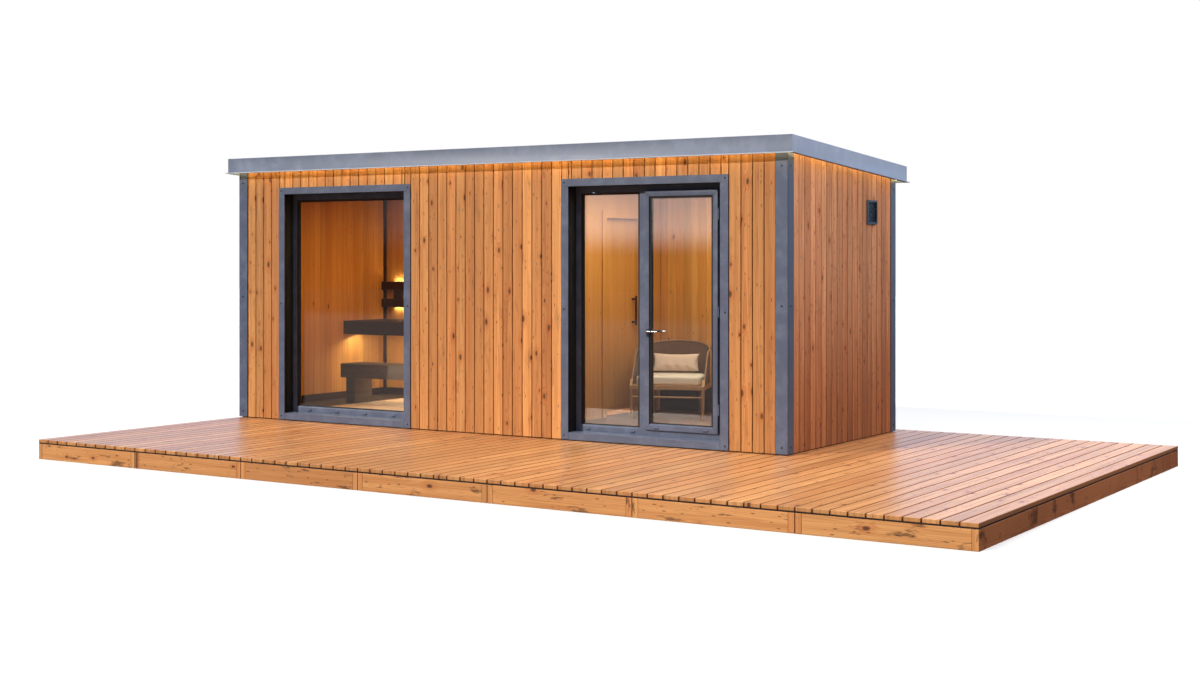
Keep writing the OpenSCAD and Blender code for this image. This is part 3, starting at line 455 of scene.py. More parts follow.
class Graph:
    """Short calls that build the node tree of a material or a world."""

    def __init__(self, owner: Union[bpy.types.Material, bpy.types.World]) -> None:
        """Empties the owner's tree."""
        self.owner = owner
        owner.use_nodes = True
        self.tree = owner.node_tree
        self.tree.nodes.clear()

    @classmethod
    def material(cls, name: str) -> "Graph":
        """Starts a new material called name."""
        return cls(bpy.data.materials.new(name))

    def node(self, kind: str, inputs: Mapping[Union[int, str], object], **settings: object) -> bpy.types.Node:
        """Adds a node.

        Args:
            kind: Type of the node.
            inputs: What goes into its sockets: a value, a socket, a plain number or a colour.
            settings: Its other settings.

        Returns:
            The node.
        """
        made = self.tree.nodes.new(kind)
        for key, setting in settings.items():
            setattr(made, key, setting)
        for key, given in inputs.items():
            socket = made.inputs[key]
            if isinstance(given, Value):
                given = given.socket
            if isinstance(given, bpy.types.NodeSocket):
                self.tree.links.new(given, socket)
            else:
                socket.default_value = (*given, 1.0) if socket.type == "RGBA" else given
        return made

    def value(self, kind: str, inputs: Sequence[object], output: Union[int, str] = 0,
              **settings: object) -> Value:
        """Adds a node with its inputs in order, and gives one of its outputs."""
        return Value(self, self.node(kind, dict(enumerate(inputs)), **settings).outputs[output])

    def math(self, operation: str, *numbers: Operand, clamp: bool = False) -> Value:
        """Works out one number from one or two others."""
        return self.value("ShaderNodeMath", numbers, operation=operation, use_clamp=clamp)

    def scaled(self, vector: Value, scales: tuple[float, float, float]) -> Value:
        """Stretches a vector along each axis."""
        return self.value("ShaderNodeVectorMath", (vector, scales), operation="MULTIPLY")

    def combined(self, *numbers: Operand) -> Value:
        """Joins three numbers into a vector."""
        return self.value("ShaderNodeCombineXYZ", numbers)

    def parts(self, vector: Value) -> tuple[Value, ...]:
        """Splits a vector into its three numbers."""
        return tuple(Value(self, out) for out in self.node("ShaderNodeSeparateXYZ", {0: vector}).outputs)

    def noise(self, vector: Value, scale: float = 1.0, detail: float = 2.0, roughness: float = 0.5) -> Value:
        """Noise from 0 to 1 at a point."""
        inputs = {"Vector": vector, "Scale": scale, "Detail": detail, "Roughness": roughness}
        return Value(self, self.node("ShaderNodeTexNoise", inputs).outputs["Fac"])

    def cells(self, vector: Value, scale: float) -> tuple[tuple[Value, ...], Value]:
        """Flat cell pattern: three random numbers of the cell, and the distance to its middle."""
        made = self.node("ShaderNodeTexVoronoi", {"Vector": vector, "Scale": scale}, voronoi_dimensions="2D")
        return self.parts(Value(self, made.outputs["Color"])), Value(self, made.outputs["Distance"])

    def between(self, number: Operand, low: Operand, high: Operand, out_low: float = 0.0,
                out_high: float = 1.0) -> Value:
        """Smooth step of a number from one range to another."""
        return self.value("ShaderNodeMapRange", (number, low, high, out_low, out_high),
                          interpolation_type="SMOOTHSTEP")

    def mixed(self, factor: Operand, first: Shade, second: Shade, blend: str = "MIX") -> Value:
        """Mixes two colours.

        Args:
            factor: Share of the second, from 0 to 1.
            first: First colour.
            second: Second colour.
            blend: Way of mixing.

        Returns:
            The mixed colour.
        """
        colours = {0: factor, 6: first, 7: second}
        made = self.node("ShaderNodeMix", colours, data_type="RGBA", blend_type=blend)
        return Value(self, made.outputs[2])

    def attribute(self, name: str, output: str) -> Value:
        """Reads an attribute of the mesh."""
        return self.value("ShaderNodeAttribute", (), output, attribute_name=name)

    def places(self, output: str = "Object") -> Value:
        """Coordinates of the point."""
        return self.value("ShaderNodeTexCoord", (), output)

    def ray(self, kind: str) -> Value:
        """1 for rays of a kind, else 0."""
        return self.value("ShaderNodeLightPath", (), f"Is {kind} Ray")

    def blended(self, factor: Operand, first: bpy.types.Node, second: bpy.types.Node) -> bpy.types.Node:
        """Mixes two shaders."""
        return self.node("ShaderNodeMixShader", {0: factor, 1: first.outputs[0], 2: second.outputs[0]})

    def ended(self, shader: bpy.types.Node) -> Union[bpy.types.Material, bpy.types.World]:
        """Ends the tree in a shader and gives its owner.

        Args:
            shader: The last shader.

        Returns:
            The material or world.
        """
        kind = "World" if isinstance(self.owner, bpy.types.World) else "Material"
        self.node(f"ShaderNodeOutput{kind}", {"Surface": shader.outputs[0]})
        return self.owner

    def surface(self, colour: Shade, roughness: Operand, height: Optional[Value] = None, depth: float = 0.0,
                strength: float = 0.5, **numbers: object) -> bpy.types.Material:
        """Ends the tree in one Principled shader.

        Args:
            colour: Its colour.
            roughness: Its roughness.
            height: Height for the bump, or None.
            depth: Distance that a height of 1 stands for.
            strength: Strength of the bump.
            numbers: Plain values of other sockets, with underscores for spaces.

        Returns:
            The finished material.
        """
        inputs = {"Base Color": colour, "Roughness": roughness}
        inputs.update({key.replace("_", " "): number for key, number in numbers.items()})
        if height is not None:
            bump = self.node("ShaderNodeBump", {"Strength": strength, "Distance": depth, "Height": height})
            inputs["Normal"] = bump.outputs[0]
        return self.ended(self.node("ShaderNodeBsdfPrincipled", inputs))


@dataclass(frozen=True)
class WoodFinish:
    """Sawn or planed softwood with growth rings, fibre, knots and board-to-board variation."""

    name: str
    light: Colour
    dark: Colour
    knot: Colour = (0.075, 0.024, 0.009)
    ring_spacing: float = 0.0075
    ring_bend: float = 0.05
    ring_taper: float = 0.008
    ring_lift: float = 0.010
    fibre_scale: float = 240.0
    knot_scale: float = 8.0
    knot_size: float = 0.013
    knot_share: float = 0.7
    smallest_knot: float = 0.0015
    fleck_share: float = 0.6
    fleck_scale: float = 26.0
    red_share: float = 0.42
    tone_low: float = 0.84
    tone_high: float = 1.10
    patches: float = 0.0
    lines: float = 0.45
    streaks: float = 0.42
    streak_scale: float = 22.0
    # Painted shade: share of the colour below multiplied in towards the bottom of the wall.
    painted_low_shade: float = 0.0
    low_shade_colour: Colour = (0.60, 0.37, 0.15)
    roughness: float = 0.55
    relief: float = 0.4
    gloss: float = 0.35

    def build(self) -> bpy.types.Material:
        """Builds the material.

        The rings are the distance r from a pith line behind the board, r = sqrt(across^2 + depth^2), bent by
        slow noise and round the knots. The knots are the big enough cells of a stretched cell pattern.

        Returns:
            The material.
        """
        g = Graph.material(self.name)
        grain, tone = g.attribute("grain", "Vector"), g.attribute("tone", "Fac")
        along, across, depth = g.parts(grain)
        chances, distance = g.cells(g.combined(along * 0.5, across, 0.0), self.knot_scale)
        size = g.between(chances[0], 1.0 - self.knot_share, 1.0) ** 2.0 * self.knot_size
        ragged = distance / self.knot_scale + (g.noise(grain, 90.0) - 0.5) * 0.004
        knot = g.between(ragged, size * 1.15, size * 0.55) * (size > self.smallest_knot)
        halo = g.between(ragged, size * 3.6, size * 0.9)
        bent = across + (g.noise(g.combined(along * 0.9, across * 6.0, depth)) - 0.5) * self.ring_bend
        radius = g.math("SQRT", bent * bent + depth * depth) + along * self.ring_taper + halo * self.ring_lift
        ring = g.math("FRACT", radius / self.ring_spacing)
        late = g.between(ring, 0.15, 0.85) * g.between(ring, 1.0, 0.93)
        fibre_at = g.combined(along * 4.0, across * self.fibre_scale, depth * self.fibre_scale)
        fibre = g.noise(fibre_at, 1.0, 3.0, 0.6)
        streak_at = g.combined(along * 0.6, across * self.streak_scale, depth)
        streak = g.between(g.noise(streak_at, 1.0, 3.0, 0.6), 0.35, 0.70)
        darkness = g.math("ADD", late * 0.34 + streak * self.streaks, fibre * 0.22, clamp=True)
        redder = (self.dark[0] * 1.05, self.dark[1] * 0.82, self.dark[2] * 0.75)
        colour = g.mixed(darkness, self.light, self.dark)
        colour = g.mixed(g.math("FRACT", tone * 7.31) * self.red_share, colour, redder)
        lift = tone * (self.tone_high - self.tone_low) + self.tone_low
        colour = g.mixed(1.0, colour, g.combined(lift, lift, lift), "MULTIPLY")
        # Painted shade: the colour darkens towards the bottom, from 1.9 m down to 0.2 m.
        if self.painted_low_shade:
            lower = g.between(g.parts(g.places())[2], 1.9, 0.2) * self.painted_low_shade
            colour = g.mixed(lower, colour, self.low_shade_colour, "MULTIPLY")
        if self.patches:
            stain = g.between(g.noise(g.scaled(grain, (3.4, 15.0, 4.0)), 1.0, 6.0, 0.66), 0.56, 0.64)
            colour = g.mixed(stain * self.patches, colour, self.knot)
        if self.lines:
            line_at = g.combined(along * 3.2, across * 150.0, depth)
            line = g.between(g.noise(line_at, 1.0, 2.0, 0.55), 0.60, 0.72)
            colour = g.mixed(line * self.lines, colour, tuple(c * 0.45 for c in self.dark))
        colour = g.mixed(halo * 0.5, colour, redder)
        dark_spot = g.math("MAXIMUM", knot, self.flecks(g, along, across))
        colour = g.mixed(dark_spot * 0.88, colour, self.knot)
        height = late * 0.5 + fibre * 0.5 - knot * 0.8
        rough = fibre * 0.14 + (self.roughness - 0.07)
        return g.surface(colour, rough, height, 0.0006, self.relief, Specular_IOR_Level=self.gloss)

    def flecks(self, g: Graph, along: Value, across: Value) -> Value:
        """Small dark streaks along the grain: cells stretched along it, of which a share is dark.

        Args:
            g: The graph that takes the nodes.
            along: Place along the board.
            across: Place across the board.

        Returns:
            Strength of the streaks from 0 to 1.
        """
        chances, distance = g.cells(g.combined(along * 0.30, across, 0.0), self.fleck_scale)
        size = g.between(chances[1], 1.0 - self.fleck_share, 1.0, 0.0, 0.17)
        return g.between(distance, size, size * 0.4) * 0.75


@dataclass(frozen=True)
class SteelFinish:
    """Powder-coated or bare steel with faint mottling and fine texture."""

    name: str
    base: Colour
    pale: Colour
    mottling: float = 0.45
    roughness: float = 0.42
    metallic: float = 0.0
    cloud_scale: float = 7.0
    speck_scale: float = 240.0

    def build(self) -> bpy.types.Material:
        """Builds the material.

        Returns:
            The material.
        """
        g = Graph.material(self.name)
        spot = g.places()
        clouds = g.between(g.noise(spot, self.cloud_scale, 6.0, 0.62), 0.42, 0.70)
        specks = g.noise(spot, self.speck_scale)
        colour = g.mixed(clouds * self.mottling, self.base, self.pale)
        colour = g.mixed(g.between(specks, 0.45, 0.75) * 0.12, colour, self.pale)
        rough = clouds * 0.12 + (self.roughness - 0.04)
        return g.surface(colour, rough, specks, 0.0002, 0.25, Metallic=self.metallic)


@dataclass(frozen=True)
class PlainFinish:
    """Moulded, rubber or sheet material with a fine grain."""

    name: str
    base: Colour
    roughness: float = 0.6
    grain_scale: float = 180.0

    def build(self) -> bpy.types.Material:
        """Builds the material.

        Returns:
            The material.
        """
        g = Graph.material(self.name)
        fine = g.noise(g.places(), self.grain_scale, 3.0)
        lighter = tuple(min(1.0, c * 1.35 + 0.01) for c in self.base)
        return g.surface(g.mixed(fine * 0.5, self.base, lighter), self.roughness, fine, 0.0003, 0.3)


@dataclass(frozen=True)
class LightFinish:
    """Glowing diffuser of a light strip."""

    name: str
    colour: Colour
    strength: float

    def build(self) -> bpy.types.Material:
        """Builds the material.

        Returns:
            The material.
        """
        g = Graph.material(self.name)
        return g.surface(self.colour, 0.5, Emission_Strength=self.strength, Emission_Color=self.colour)


@dataclass(frozen=True)
class GlassFinish:
    """Clear pane that lets lamps through."""

    name: str
    tint: Colour
    refraction: float = 1.50

    def build(self) -> bpy.types.Material:
        """Builds the material.

        Returns:
            The material.
        """
        g = Graph.material(self.name)
        pane = g.node("ShaderNodeBsdfPrincipled", {"Base Color": self.tint, "Roughness": 0.0,
                                                   "IOR": self.refraction, "Transmission Weight": 1.0})
        clear = g.node("ShaderNodeBsdfTransparent", {"Color": self.tint})
        return g.ended(g.blended(g.math("MAXIMUM", g.ray("Shadow"), g.ray("Diffuse")), pane, clear))


@dataclass(frozen=True)
class ClothFinish:
    """Plain-woven cloth with crossing threads."""

    name: str
    base: Colour
    dark: Colour
    thread: float = 900.0

    def build(self) -> bpy.types.Material:
        """Builds the material.

        Returns:
            The material.
        """
        g = Graph.material(self.name)
        spot = g.places()
        x, y, z = g.parts(spot)
        weave = g.math("SINE", x * self.thread) * g.math("SINE", (y + z) * self.thread) * 0.5 + 0.5
        slub = g.noise(g.scaled(spot, (60.0, 420.0, 420.0)))
        shade = g.math("ADD", weave * 0.25 + slub * 0.35, g.noise(spot, 14.0, 4.0) * 0.25, clamp=True)
        colour = g.mixed(shade, self.base, self.dark)
        return g.surface(colour, 0.9, weave + slub, 0.0004, 0.5, Sheen_Weight=0.25, Sheen_Roughness=0.5)


class Finishes:
    """Every finish of the cabin, built once."""

    def __init__(self) -> None:
        """Builds the materials."""
        self.front_larch = WoodFinish("front_larch_boards", (0.82, 0.400, 0.135), (0.41, 0.140, 0.030),
                                      tone_low=0.74, tone_high=1.14, patches=0.22, knot_size=0.017,
                                      knot_scale=7.0).build()
        # Painted light and shade: the side boards are a bluer, darker copy of the larch for the shaded sides,
        # darkened towards the bottom.
        self.side_larch = WoodFinish("side_larch_painted_shade", (0.74, 0.365, 0.185), (0.32, 0.115, 0.040),
                                     fleck_share=0.9, tone_low=0.70, tone_high=1.16, painted_low_shade=0.75,
                                     patches=0.2, gloss=0.2).build()
        self.deck = WoodFinish("deck_larch_boards", (0.80, 0.410, 0.165), (0.42, 0.165, 0.050), tone_low=0.86,
                               tone_high=1.11, roughness=0.34, knot_size=0.014, knot_share=0.6, streaks=0.55,
                               streak_scale=34.0, relief=0.25, gloss=0.5).build()
        self.beam = WoodFinish("deck_beam_larch", (0.86, 0.425, 0.160), (0.50, 0.190, 0.053), patches=0.75,
                               knot_scale=6.0, knot_size=0.015, roughness=0.6).build()
        # Painted shade: a darker copy of the beam larch for the beams' side faces.
        self.beam_side_shade = WoodFinish("deck_beam_side_painted_shade", (0.52, 0.185, 0.066), (0.24, 0.074, 0.027),
                                    patches=0.8, knot_scale=6.0, knot_size=0.015, roughness=0.75,
                                    gloss=0.15).build()
        # Painted shade on the deck boards' side faces, in the open joints and at the deck's ends.
        self.deck_joint_shade = PlainFinish("deck_joint_painted_shade", (0.250, 0.086, 0.024), 0.85, 60.0).build()
        # Painted shade in the cladding joints: the wooden tongues are coloured near black.
        self.joint = PlainFinish("cladding_joint_painted_shade", (0.050, 0.012, 0.002), 0.9, 60.0).build()
        # Painted shadow in the gap between the deck boards and the rims.
        self.shade_band = PlainFinish("painted_gap_shade", (0.016, 0.005, 0.003), 0.9, 60.0).build()
        self.floor = WoodFinish("lounge_floor_boards", (0.15, 0.064, 0.042), (0.09, 0.034, 0.022)).build()
        self.pale_floor = WoodFinish("pale_floor_boards", (0.66, 0.49, 0.38), (0.54, 0.38, 0.28),
                                     knot_share=0.0, fleck_share=0.0).build()
        self.dark_floor = WoodFinish("dark_floor_boards", (0.070, 0.045, 0.032), (0.030, 0.020, 0.015),
                                     knot=(0.01, 0.008, 0.006), knot_share=0.0, fleck_share=0.0).build()
        self.lining = WoodFinish("spruce_lining", (0.70, 0.350, 0.095), (0.49, 0.205, 0.042), knot_share=0.1,
                                 fleck_share=0.1, ring_spacing=0.004, roughness=0.5).build()
        self.dark_wood = WoodFinish("dark_bench_wood", (0.070, 0.024, 0.012), (0.022, 0.008, 0.005),
                                    knot=(0.01, 0.005, 0.004), roughness=0.5, knot_share=0.1).build()
        self.grey_wood = WoodFinish("grey_bench_wood", (0.20, 0.135, 0.095), (0.090, 0.058, 0.042),
                                    knot=(0.02, 0.012, 0.01), roughness=0.55, knot_share=0.1).build()
        self.light_wood = WoodFinish("light_chair_wood", (0.60, 0.37, 0.20), (0.42, 0.23, 0.11),
                                     knot_share=0.0, fleck_share=0.0, ring_spacing=0.003,
                                     roughness=0.42).build()
        self.steel = SteelFinish("grey_steel", (0.084, 0.104, 0.172), (0.140, 0.172, 0.264),
                                 mottling=0.55).build()
        # Painted shade: a darker copy of the grey steel for the corner angles' side faces.
        self.steel_side_shade = SteelFinish("grey_steel_painted_side_shade", (0.050, 0.059, 0.092), (0.084, 0.098, 0.142)).build()
        self.fascia = SteelFinish("fascia_steel", (0.122, 0.152, 0.232), (0.225, 0.266, 0.380), mottling=0.6,
                                  roughness=0.5, cloud_scale=5.0).build()
        # Painted reflection: a paler copy of the fascia steel for its side faces, for the sky's sheen.
        self.fascia_side_sheen = SteelFinish("fascia_steel_painted_side_sheen", (0.245, 0.290, 0.410), (0.360, 0.410, 0.550),
                                      roughness=0.5, cloud_scale=5.0).build()
        # Painted highlight: the drip edge is pale for the light on its lip.
        self.drip = SteelFinish("drip_edge_painted_highlight", (0.50, 0.53, 0.60), (0.62, 0.65, 0.72),
                                roughness=0.4).build()
        self.reveal = SteelFinish("black_reveal", (0.004, 0.005, 0.007), (0.008, 0.009, 0.013),
                                  roughness=0.6).build()
        self.silver = SteelFinish("satin_silver", (0.32, 0.33, 0.36), (0.46, 0.47, 0.50), roughness=0.30,
                                  metallic=1.0).build()
        # Dark screw heads, sized and darkened to carry their cast shadow as painted shade too.
        self.screw = SteelFinish("dark_screw_painted_shade", (0.035, 0.038, 0.055), (0.07, 0.075, 0.10), roughness=0.35,
                                 metallic=0.5).build()
        self.rose = SteelFinish("dark_rose", (0.020, 0.022, 0.032), (0.04, 0.044, 0.06),
                                roughness=0.35).build()
        self.louvre = SteelFinish("dark_louvre", (0.012, 0.014, 0.022), (0.03, 0.032, 0.045)).build()
        self.core = PlainFinish("wall_core", (0.045, 0.040, 0.036), 0.85, 60.0).build()
        self.membrane = PlainFinish("roof_membrane", (0.055, 0.058, 0.064), 0.8, 220.0).build()
        # Black rubber of the gaskets and seals, also used as painted shade round the panes, in the mitres and
        # under the drain caps.
        self.rubber = PlainFinish("black_gasket_and_painted_shade", (0.006, 0.006, 0.007), 0.6).build()
        self.eaves_glow = LightFinish("eaves_glow", (1.0, 0.86, 0.42), 11.0).build()
        self.bench_glow = LightFinish("bench_glow", (1.0, 0.82, 0.46), 9.0).build()
        self.glass = GlassFinish("clear_glass", (0.94, 0.96, 0.94)).build()
        self.rope = ClothFinish("dark_rope", (0.230, 0.125, 0.080), (0.085, 0.045, 0.030), 1400.0).build()
        self.rim = PlainFinish("bound_rim", (0.260, 0.150, 0.090), 0.6, 120.0).build()
        self.cushion = ClothFinish("cream_linen", (0.88, 0.80, 0.70), (0.70, 0.61, 0.51)).build()
        self.pillow = ClothFinish("beige_linen", (0.80, 0.61, 0.51), (0.58, 0.42, 0.34)).build()


# ---- deck --------------------------------------------------------------------
@dataclass
class Deck:
    """Seven deck modules: boards on beams, rims and joists."""

    finishes: Finishes
    low: Vector = field(default_factory=lambda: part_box("deck_boards")[0])
    high: Vector = field(default_factory=lambda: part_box("deck_boards")[1])
    rim_top: float = field(default_factory=lambda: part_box("deck_beams")[1].z)

    def boards(self) -> None:
        """Lays the deck boards from front to back, with open joints."""
        count = MODULES * BOARDS_PER_MODULE
        pitch = (self.high.x - self.low.x) / count
        start = self.low.x + np.arange(count) * pitch
        first, last = np.arange(count) == 0, np.arange(count) == count - 1
        left = start + np.where(first, 0, DECK_GAP / 2)
        right = start + pitch - np.where(last, 0, DECK_GAP / 2)
        low = np.stack([left, np.full(count, self.low.y), np.full(count, self.low.z)], axis=1)
        high = np.stack([right, np.full(count, self.high.y), np.full(count, self.high.z)], axis=1)
        piece = planks("deck_planks", low, high, Grain.ALONG_Y, 11, 0.003)
        place(piece, self.finishes.deck, Body.CABIN, ["deck_boards"])
        # Painted shade: the boards' side faces take the dark joint finish.
        second_finish(piece, self.finishes.deck_joint_shade, np.abs(face_facts(piece)[1][:, 0]) > 0.6)

    def beams(self) -> None:
        """Makes the beams and rims of each module."""
        module = (self.high.x - self.low.x) / MODULES
        index = np.arange(MODULES)
        left = self.low.x + index * module + np.where(index == 0, 0, MODULE_SLIT / 2)
        right = self.low.x + (index + 1) * module - np.where(index == MODULES - 1, 0, MODULE_SLIT / 2)
        whole = np.ones(MODULES)
        beam_rows = [np.stack([x0, x0 + BEAM_T, self.low.y * whole, self.high.y * whole, 0 * whole,
                               self.rim_top * whole], axis=1) for x0 in (left, right - BEAM_T)]
        low, high = box_rows(np.concatenate(beam_rows))
        beams = planks("deck_side_beams", low, high, Grain.ALONG_Y, 12, 0.002)
        place(beams, self.finishes.beam, Body.CABIN, ["deck_beams"])
        # Painted shade on the beams' side faces.
        second_finish(beams, self.finishes.beam_side_shade, np.abs(face_facts(beams)[1][:, 0]) > 0.7)
        inner = BEAM_T + FIT_GAP
        rim_rows = [np.stack([left + inner, right - inner, y0 * whole, (y0 + BEAM_T) * whole, 0 * whole,
                              self.rim_top * whole], axis=1) for y0 in (self.low.y, self.high.y - BEAM_T)]
        low, high = box_rows(np.concatenate(rim_rows))
        rims = planks("deck_front_rims", low, high, Grain.ALONG_X, 13, 0.002)
        place(rims, self.finishes.beam, Body.CABIN, ["deck_rims"])
        # Painted shadow: a dark band fills the gap under the boards along the rims.
        inset, shade_band = 0.002, 0.020
        x, y = (self.low.x + inset, self.high.x - inset), (self.low.y + inset, self.high.y - inset)
        z = (self.rim_top + 0.0002, self.low.z - 0.0002)
        side = (y[0] + shade_band, y[1] - shade_band)
        rows = [[*x, y[0], side[0], *z], [*x, side[1], y[1], *z],
                [x[0], x[0] + shade_band, *side, *z], [x[1] - shade_band, x[1], *side, *z]]
        tapes = planks("deck_gap_shade_band", *box_rows(rows), Grain.ALONG_X, 14, 0.0)
        place(tapes, self.finishes.shade_band, Body.CABIN)

    def build(self) -> None:
        """Builds the deck."""
        self.boards()
        self.beams()


# ---- cladding ----------------------------------------------------------------
def board_edges(low: float, high: float, anchor: float, pitch: float) -> np.ndarray:
    """Edges of boards that cover a stretch, with one joint at an anchor.

    Args:
        low: Start of the stretch.
        high: End of the stretch.
        anchor: Place of one joint.
        pitch: Distance of the joints.

    Returns:
        The edges, from low to high, with slivers under a fifth of a board joined to their neighbour.
    """
    first, last = math.ceil((low - anchor) / pitch), math.floor((high - anchor) / pitch)
    inner = anchor + np.arange(first, last + 1) * pitch
    inner = inner[(inner > low + pitch / 5) & (inner < high - pitch / 5)]
    return np.concatenate([[low], inner, [high]])


@dataclass
class WallFace:
    """One clad side of the cabin: upright boards with a rebate between them."""

    node: str
    axis: int
    outward: int
    finish: bpy.types.Material
    # Finish of the tongues: painted shade in the joints.
    joint: bpy.types.Material
    slot: str
    seed: int
    tongue_depth: float = 0.010

    def stretch(self, low: float, high: float, anchor: float, bottom: float, top: float) -> list[list[float]]:
        """Rows (from, to, bottom, top) of the boards of a stretch."""
        edges = board_edges(low, high, anchor, BOARD_PITCH)
        return [[left, right, bottom, top] for left, right in zip(edges[:-1], edges[1:])]

    def build(self, rows: list[list[float]], slope: float = 0.0) -> None:
        """Makes the boards and the rebated tongues that close their joints, the tongues coloured with painted
        shade.

        Args:
            rows: From, to, bottom and top of each board, along the wall.
            slope: Fall of the tops along the wall.
        """
        low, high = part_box(self.node)
        depth = (low[self.axis], high[self.axis])
        along = 1 - self.axis
        table = np.array(rows)
        half = BOARD_GAP / 2
        top = table[:, 3] - slope * (table[:, 1] - low[along])
        corner_low, corner_high = np.zeros((len(rows), 3)), np.zeros((len(rows), 3))
        corner_low[:, along], corner_high[:, along] = table[:, 0] + half, table[:, 1] - half
        corner_low[:, self.axis], corner_high[:, self.axis] = depth
        corner_low[:, 2], corner_high[:, 2] = table[:, 2], top
        grain = Grain.ALONG_Z_FACING_Y if self.axis == 1 else Grain.ALONG_Z_FACING_X
        boards = planks(f"{self.node}_boards", corner_low, corner_high, grain, self.seed, 0.0018)
        place(boards, self.finish, Body.CABIN, [self.node])
        tongue_low, tongue_high = corner_low.copy(), corner_high.copy()
        tongue_low[:, along], tongue_high[:, along] = table[:, 1] - half, table[:, 1] + half
        if self.outward < 0:
            tongue_low[:, self.axis] = depth[0] + self.tongue_depth
        else:
            tongue_high[:, self.axis] = depth[1] - self.tongue_depth
        inside = tongue_high[:, along] < high[along]
        # The tongues are wood, coloured with painted shade.
        tongues = planks(f"{self.node}_joints", tongue_low[inside], tongue_high[inside], grain,
                         self.seed + 1, 0.0)
        place(tongues, self.joint, Body.CABIN)


@dataclass
class Cladding:
    """The four clad sides."""

    finishes: Finishes
    head_lap: float = 0.061

    def front(self) -> None:
        """Clads the front round the window and the door."""
        f = self.finishes
        wall = WallFace("front_cladding", 1, -1, f.front_larch, f.joint, "front_larch", 21)
        low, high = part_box("front_cladding")
        window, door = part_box("window_casing"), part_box("door_casing")
        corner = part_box("corner_angles")[1].x - ANGLE_LEG
        bottom, top = low.z, high.z - 0.002
        head = window[1].z - self.head_lap
        rows = wall.stretch(low.x, window[0].x, window[0].x, bottom, top)
        for left, right, anchor, following, next_anchor in (
                (window[0].x, window[1].x, window[1].x, door[0].x, door[0].x),
                (door[0].x, door[1].x, door[0].x, high.x, corner)):
            inner_left, inner_right = left + CASING_REBATE, right - CASING_REBATE
            rows += [[left, inner_left, bottom, top]]
            rows += wall.stretch(inner_left, inner_right, anchor, head, top)
            rows += [[inner_right, right, bottom, top]]
            rows += wall.stretch(right, following, next_anchor, bottom, top)
        wall.build(rows)

    def sides_and_back(self) -> None:
        """Clads the other three sides."""
        f = self.finishes
        for name, outward, seed in (("left_cladding", -1, 31), ("right_cladding", 1, 33)):
            wall = WallFace(name, 0, outward, f.side_larch, f.joint, "side_larch", seed)
            low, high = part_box(name)
            wall.build(wall.stretch(low.y, high.y, ANGLE_LEG, low.z, high.z - 0.001), ROOF_SLOPE)
        wall = WallFace("back_cladding", 1, 1, f.front_larch, f.joint, "front_larch", 35)
        low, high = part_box("back_cladding")
        wall.build(wall.stretch(low.x, high.x, low.x + ANGLE_LEG, low.z, high.z - 0.0015))

    def build(self) -> None:
        """Clads the cabin."""
        self.front()
        self.sides_and_back()


